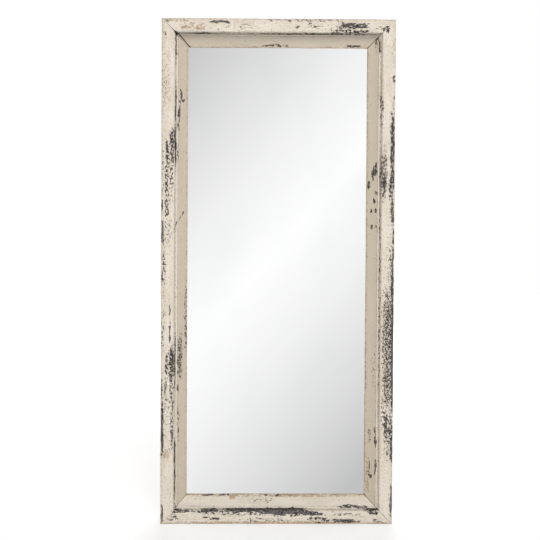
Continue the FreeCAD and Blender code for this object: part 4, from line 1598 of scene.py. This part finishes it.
@dataclass
class HangerRing:
    """A bent wire D-ring that swings in the eye of its strap, in millimetres."""

    hand: str
    wire: float = 1.6
    bend: float = 3.5
    leg: float = 4.0
    sides: int = 20
    bend_steps: int = 8
    bow_steps: int = 32

    def _line(self, half_width: float) -> list[Vector]:
        """The wire's middle line, hanging from its bar, once round.

        Args:
            half_width: Half the width of the ring, to the middle of the wire.

        Returns:
            The points of the line.
        """
        bar = half_width - self.bend
        line = []
        for turn in np.linspace(0, math.pi / 2, self.bend_steps):
            line.append((bar + self.bend * math.sin(turn), self.bend * (1 - math.cos(turn))))
        for turn in np.linspace(0, math.pi, self.bow_steps):
            line.append((half_width * math.cos(turn), self.bend + self.leg + half_width * math.sin(turn)))
        for turn in np.linspace(0, math.pi / 2, self.bend_steps):
            line.append((-bar - self.bend * math.cos(turn), self.bend * (1 - math.sin(turn))))
        return [Vector((across, 0, -down)) for across, down in line]

    def _skin(self, line: list[Vector], turn: Matrix) -> tuple[list[Vector], list[tuple[int, ...]]]:
        """The round wire about its middle line.

        Args:
            line: The points of the line, in millimetres.
            turn: Places the ring in the frame.

        Returns:
            The vertices in metres, and the numbers of the vertices round each face.
        """
        back = Vector((0, 1, 0))
        vertices = []
        faces = []
        for index, point in enumerate(line):
            after = (index + 1) % len(line)
            outwards = (line[after] - line[index - 1]).normalized().cross(back)
            here = index * self.sides
            there = after * self.sides
            for step in range(self.sides):
                angle = 2 * math.pi * step / self.sides
                around = outwards * math.cos(angle) + back * math.sin(angle)
                vertices.append(turn @ ((point + around * self.wire) * MM))
                beside = (step + 1) % self.sides
                faces.append((here + step, there + step, there + beside, here + beside))
        return vertices, faces

    def build(self, finish: bpy.types.Material) -> bpy.types.Object:
        """Make the ring in place of its CAD node.

        Args:
            finish: The plating.

        Returns:
            The new piece.
        """
        node = f"hanger_ring_{self.hand}"
        body = f"ring_{self.hand}"
        low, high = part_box(node)
        pivot = Vector(next(joint["pos_m"] for joint in FRAME["joints"] if joint["child"] == body))
        half_width = (high.x - low.x) / 2 / MM - self.wire
        reach = self.bend + self.leg + half_width
        tilt = math.asin(((high.y - pivot.y) / MM - self.wire) / reach)
        turn = Matrix.Translation(pivot) @ Matrix.Rotation(tilt, 4, "X")
        vertices, faces = self._skin(self._line(half_width), turn)
        piece = add_mesh(f"{node}_wire", vertices, faces, finish)
        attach(piece, body)
        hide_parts(node)
        return piece


@dataclass
class CarriedParts:
    """The CAD nodes whose shape stays, and the finish that each one gets."""

    finishes: dict[str, bpy.types.Material]

    def dress(self) -> None:
        """Give every carried node its finish."""
        for node, finish in self.finishes.items():
            mesh = FRAME["nodes"][node].data
            mesh.materials.clear()
            mesh.materials.append(finish)
            LOG.info("dressed %s with %s", node, finish.name)


@dataclass(frozen=True)
class PhotoCamera:
    """The place of the camera, fitted to the corners of the frame in the photograph."""

    place: Place = (-0.178, -2.0, 0.7606)
    pitch: float = -0.01759
    yaw: float = -0.00967
    roll: float = 0.00434
    lens: float = 51.4
    shift: tuple[float, float] = (0.1, -0.05)

    def build(self) -> None:
        """Make the camera and hand the scene to it."""
        data = bpy.data.cameras.new("photo_camera")
        data.lens = self.lens
        data.shift_x, data.shift_y = self.shift
        camera = add_object("photo_camera", data)
        turn = Matrix.Rotation(self.yaw, 4, "Z") @ Matrix.Rotation(math.pi / 2 + self.pitch, 4, "X")
        camera.matrix_world = Matrix.Translation(self.place) @ turn @ Matrix.Rotation(self.roll, 4, "Z")
        bpy.context.scene.camera = camera


@dataclass(frozen=True)
class SoftLamp:
    """A large soft lamp that mirrors do not show."""

    name: str
    place: Place
    aim: Place
    size: tuple[float, float]
    watts: float

    def build(self) -> None:
        """Hang the lamp."""
        data = bpy.data.lights.new(self.name, "AREA")
        data.shape = "RECTANGLE"
        data.size, data.size_y = self.size
        data.energy = self.watts
        lamp = add_object(self.name, data)
        lamp.location = self.place
        lamp.rotation_euler = (Vector(self.aim) - Vector(self.place)).to_track_quat("-Z", "Y").to_euler()
        lamp.visible_glossy = False


@dataclass
class Studio:
    """White floor and surround, soft lamps and the card whose soft ridge of light the pane reflects."""

    camera: PhotoCamera
    ambient: float = 0.16
    floor_size: float = 14.0
    floor_tone: Colour = grey(0.82)
    floor_glow: float = 0.36
    floor_glow_far: float = 1.0
    floor_near: float = 1.6
    floor_far: float = 3.2
    card_size: float = 16.0
    card_distance: float = 1.4
    card_ridge: float = -0.1
    card_levels: tuple[tuple[float, float], ...] = ((0.0, 1.03), (0.5, 0.91), (1.0, 0.75), (1.5, 0.56))
    card_turn: float = math.radians(41.5)
    lamps: tuple[SoftLamp, ...] = (
        SoftLamp("key_lamp", (0.3, -3.4, 4.6), (0, 0, 0.75), (3.6, 2.4), 86),
        SoftLamp("front_fill", (0.0, -4.6, 1.1), (0, 0, 0.7), (2.6, 1.6), 76),
        SoftLamp("low_fill", (0.0, -2.6, 0.4), (0, 0, 0.9), (3.4, 0.7), 16),
        SoftLamp("back_fill", (0.6, 3.4, 2.4), (0, 0, 0.65), (3.0, 2.0), 95),
        SoftLamp("left_fill", (-3.4, 1.0, 1.1), (0, 0, 0.65), (1.6, 2.2), 30),
        SoftLamp("right_fill", (3.4, 1.0, 1.1), (0, 0, 0.65), (1.6, 2.2), 30),
    )

    def _sheet(self, name: str, size: float, material: bpy.types.Material) -> bpy.types.Object:
        """A flat square that belongs to the stage.

        Args:
            name: Its name.
            size: The length of its sides.
            material: Its material.

        Returns:
            The square, lying at the origin.
        """
        half = size / 2
        corners = [(-half, -half, 0), (half, -half, 0), (half, half, 0), (-half, half, 0)]
        sheet = add_mesh(name, corners, [(0, 1, 2, 3)], material)
        return sheet

    def _floor(self) -> None:
        """The white floor, which keeps the shadow of the frame and glows more where the lamps fall off."""
        material, graph = new_material("white_floor")
        place = {"Vector": graph.place()}
        away = graph.node("ShaderNodeVectorMath", {"operation": "LENGTH"}, place, "Value")
        far = away.above(self.floor_near, self.floor_far)
        tone = graph.mix(far, grey(self.floor_glow), grey(self.floor_glow_far))
        paint = graph.node("ShaderNodeBsdfDiffuse", {}, {"Color": self.floor_tone})
        glow = graph.node("ShaderNodeEmission", {}, {"Color": tone})
        lit = graph.node("ShaderNodeAddShader", {}, {"Shader": paint, "Shader_001": glow})
        graph.surface(graph.blend(graph.seen(), paint, lit))
        floor = self._sheet("white_floor", self.floor_size, material)
        floor.visible_glossy = False

    def _card(self) -> None:
        """The card in front of the pane, seen only in reflections, with a soft bright ridge across it."""
        low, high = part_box("mirror_glass")
        middle = Vector(((low.x + high.x) / 2, low.y, (low.z + high.z) / 2))
        eye = Vector(self.camera.place)
        slope = (middle - eye) / (middle.y - eye.y)
        run = middle.y - eye.y + self.card_distance
        centre = Vector((middle.x + slope.x * run, eye.y - self.card_distance, middle.z + slope.z * run))

        material, graph = new_material("reflected_card")
        across = graph.parts(graph.place())[0]
        reach = self.card_levels[-1][0]
        stops = [(distance / reach, grey(level)) for distance, level in self.card_levels]
        share = abs(across - self.card_ridge) * (1 / reach)
        tone = graph.node("ShaderNodeValToRGB", {"stops": stops}, {"Fac": share}, "Color")
        graph.surface(graph.node("ShaderNodeEmission", {}, {"Color": tone}))
        card = self._sheet("reflected_card", self.card_size, material)
        turn = Matrix.Rotation(math.pi / 2, 4, "X") @ Matrix.Rotation(-self.card_turn, 4, "Z")
        card.matrix_world = Matrix.Translation(centre) @ turn
        for ray in ("camera", "diffuse", "transmission", "volume_scatter", "shadow"):
            setattr(card, f"visible_{ray}", False)

    def _surround(self) -> None:
        """A white surround that lights the frame more gently than it looks."""
        world = bpy.data.worlds.new("white_surround")
        world.use_nodes = True
        graph = Graph(world.node_tree)
        gentle = graph.node("ShaderNodeBackground", {}, {"Color": WHITE, "Strength": self.ambient})
        backdrop = graph.node("ShaderNodeBackground", {}, {"Color": WHITE, "Strength": 1.0})
        graph.node("ShaderNodeOutputWorld", {}, {"Surface": graph.blend(graph.seen(), gentle, backdrop)})
        bpy.context.scene.world = world

    def build(self) -> None:
        """Set up the whole studio."""
        self._surround()
        self._floor()
        self._card()
        for lamp in self.lamps:
            lamp.build()
        self.camera.build()
        bpy.context.scene.view_settings.view_transform = "Standard"


def main() -> None:
    """Build every piece of the mirror and the studio around it."""
    logging.basicConfig(level=logging.INFO, format="%(name)s: %(message)s")
    section = Moulding.from_frame()
    paint = DistressedPaint().material()
    zinc = ZincPlate().material()
    for side, wear in WEAR.items():
        piece = MouldingLength(side, section, wear).build(paint)
        LOG.info("built %s with %d faces", piece.name, len(piece.data.polygons))
    for hand in ("left", "right"):
        LOG.info("built %s", HangerRing(hand).build(zinc).name)
    CarriedParts(
        {
            "mirror_glass": Silvering().material(),
            "backing_board": Hardboard().material(),
            "framing_points": zinc,
            "mitre_v_nails": zinc,
            "hanger_strap_left": zinc,
            "hanger_strap_right": zinc,
            "hanger_screws": zinc,
            "wall_bumpers": Rubber().material(),
        }
    ).dress()
    Studio(PhotoCamera()).build()


if __name__ == "__main__":
    main()
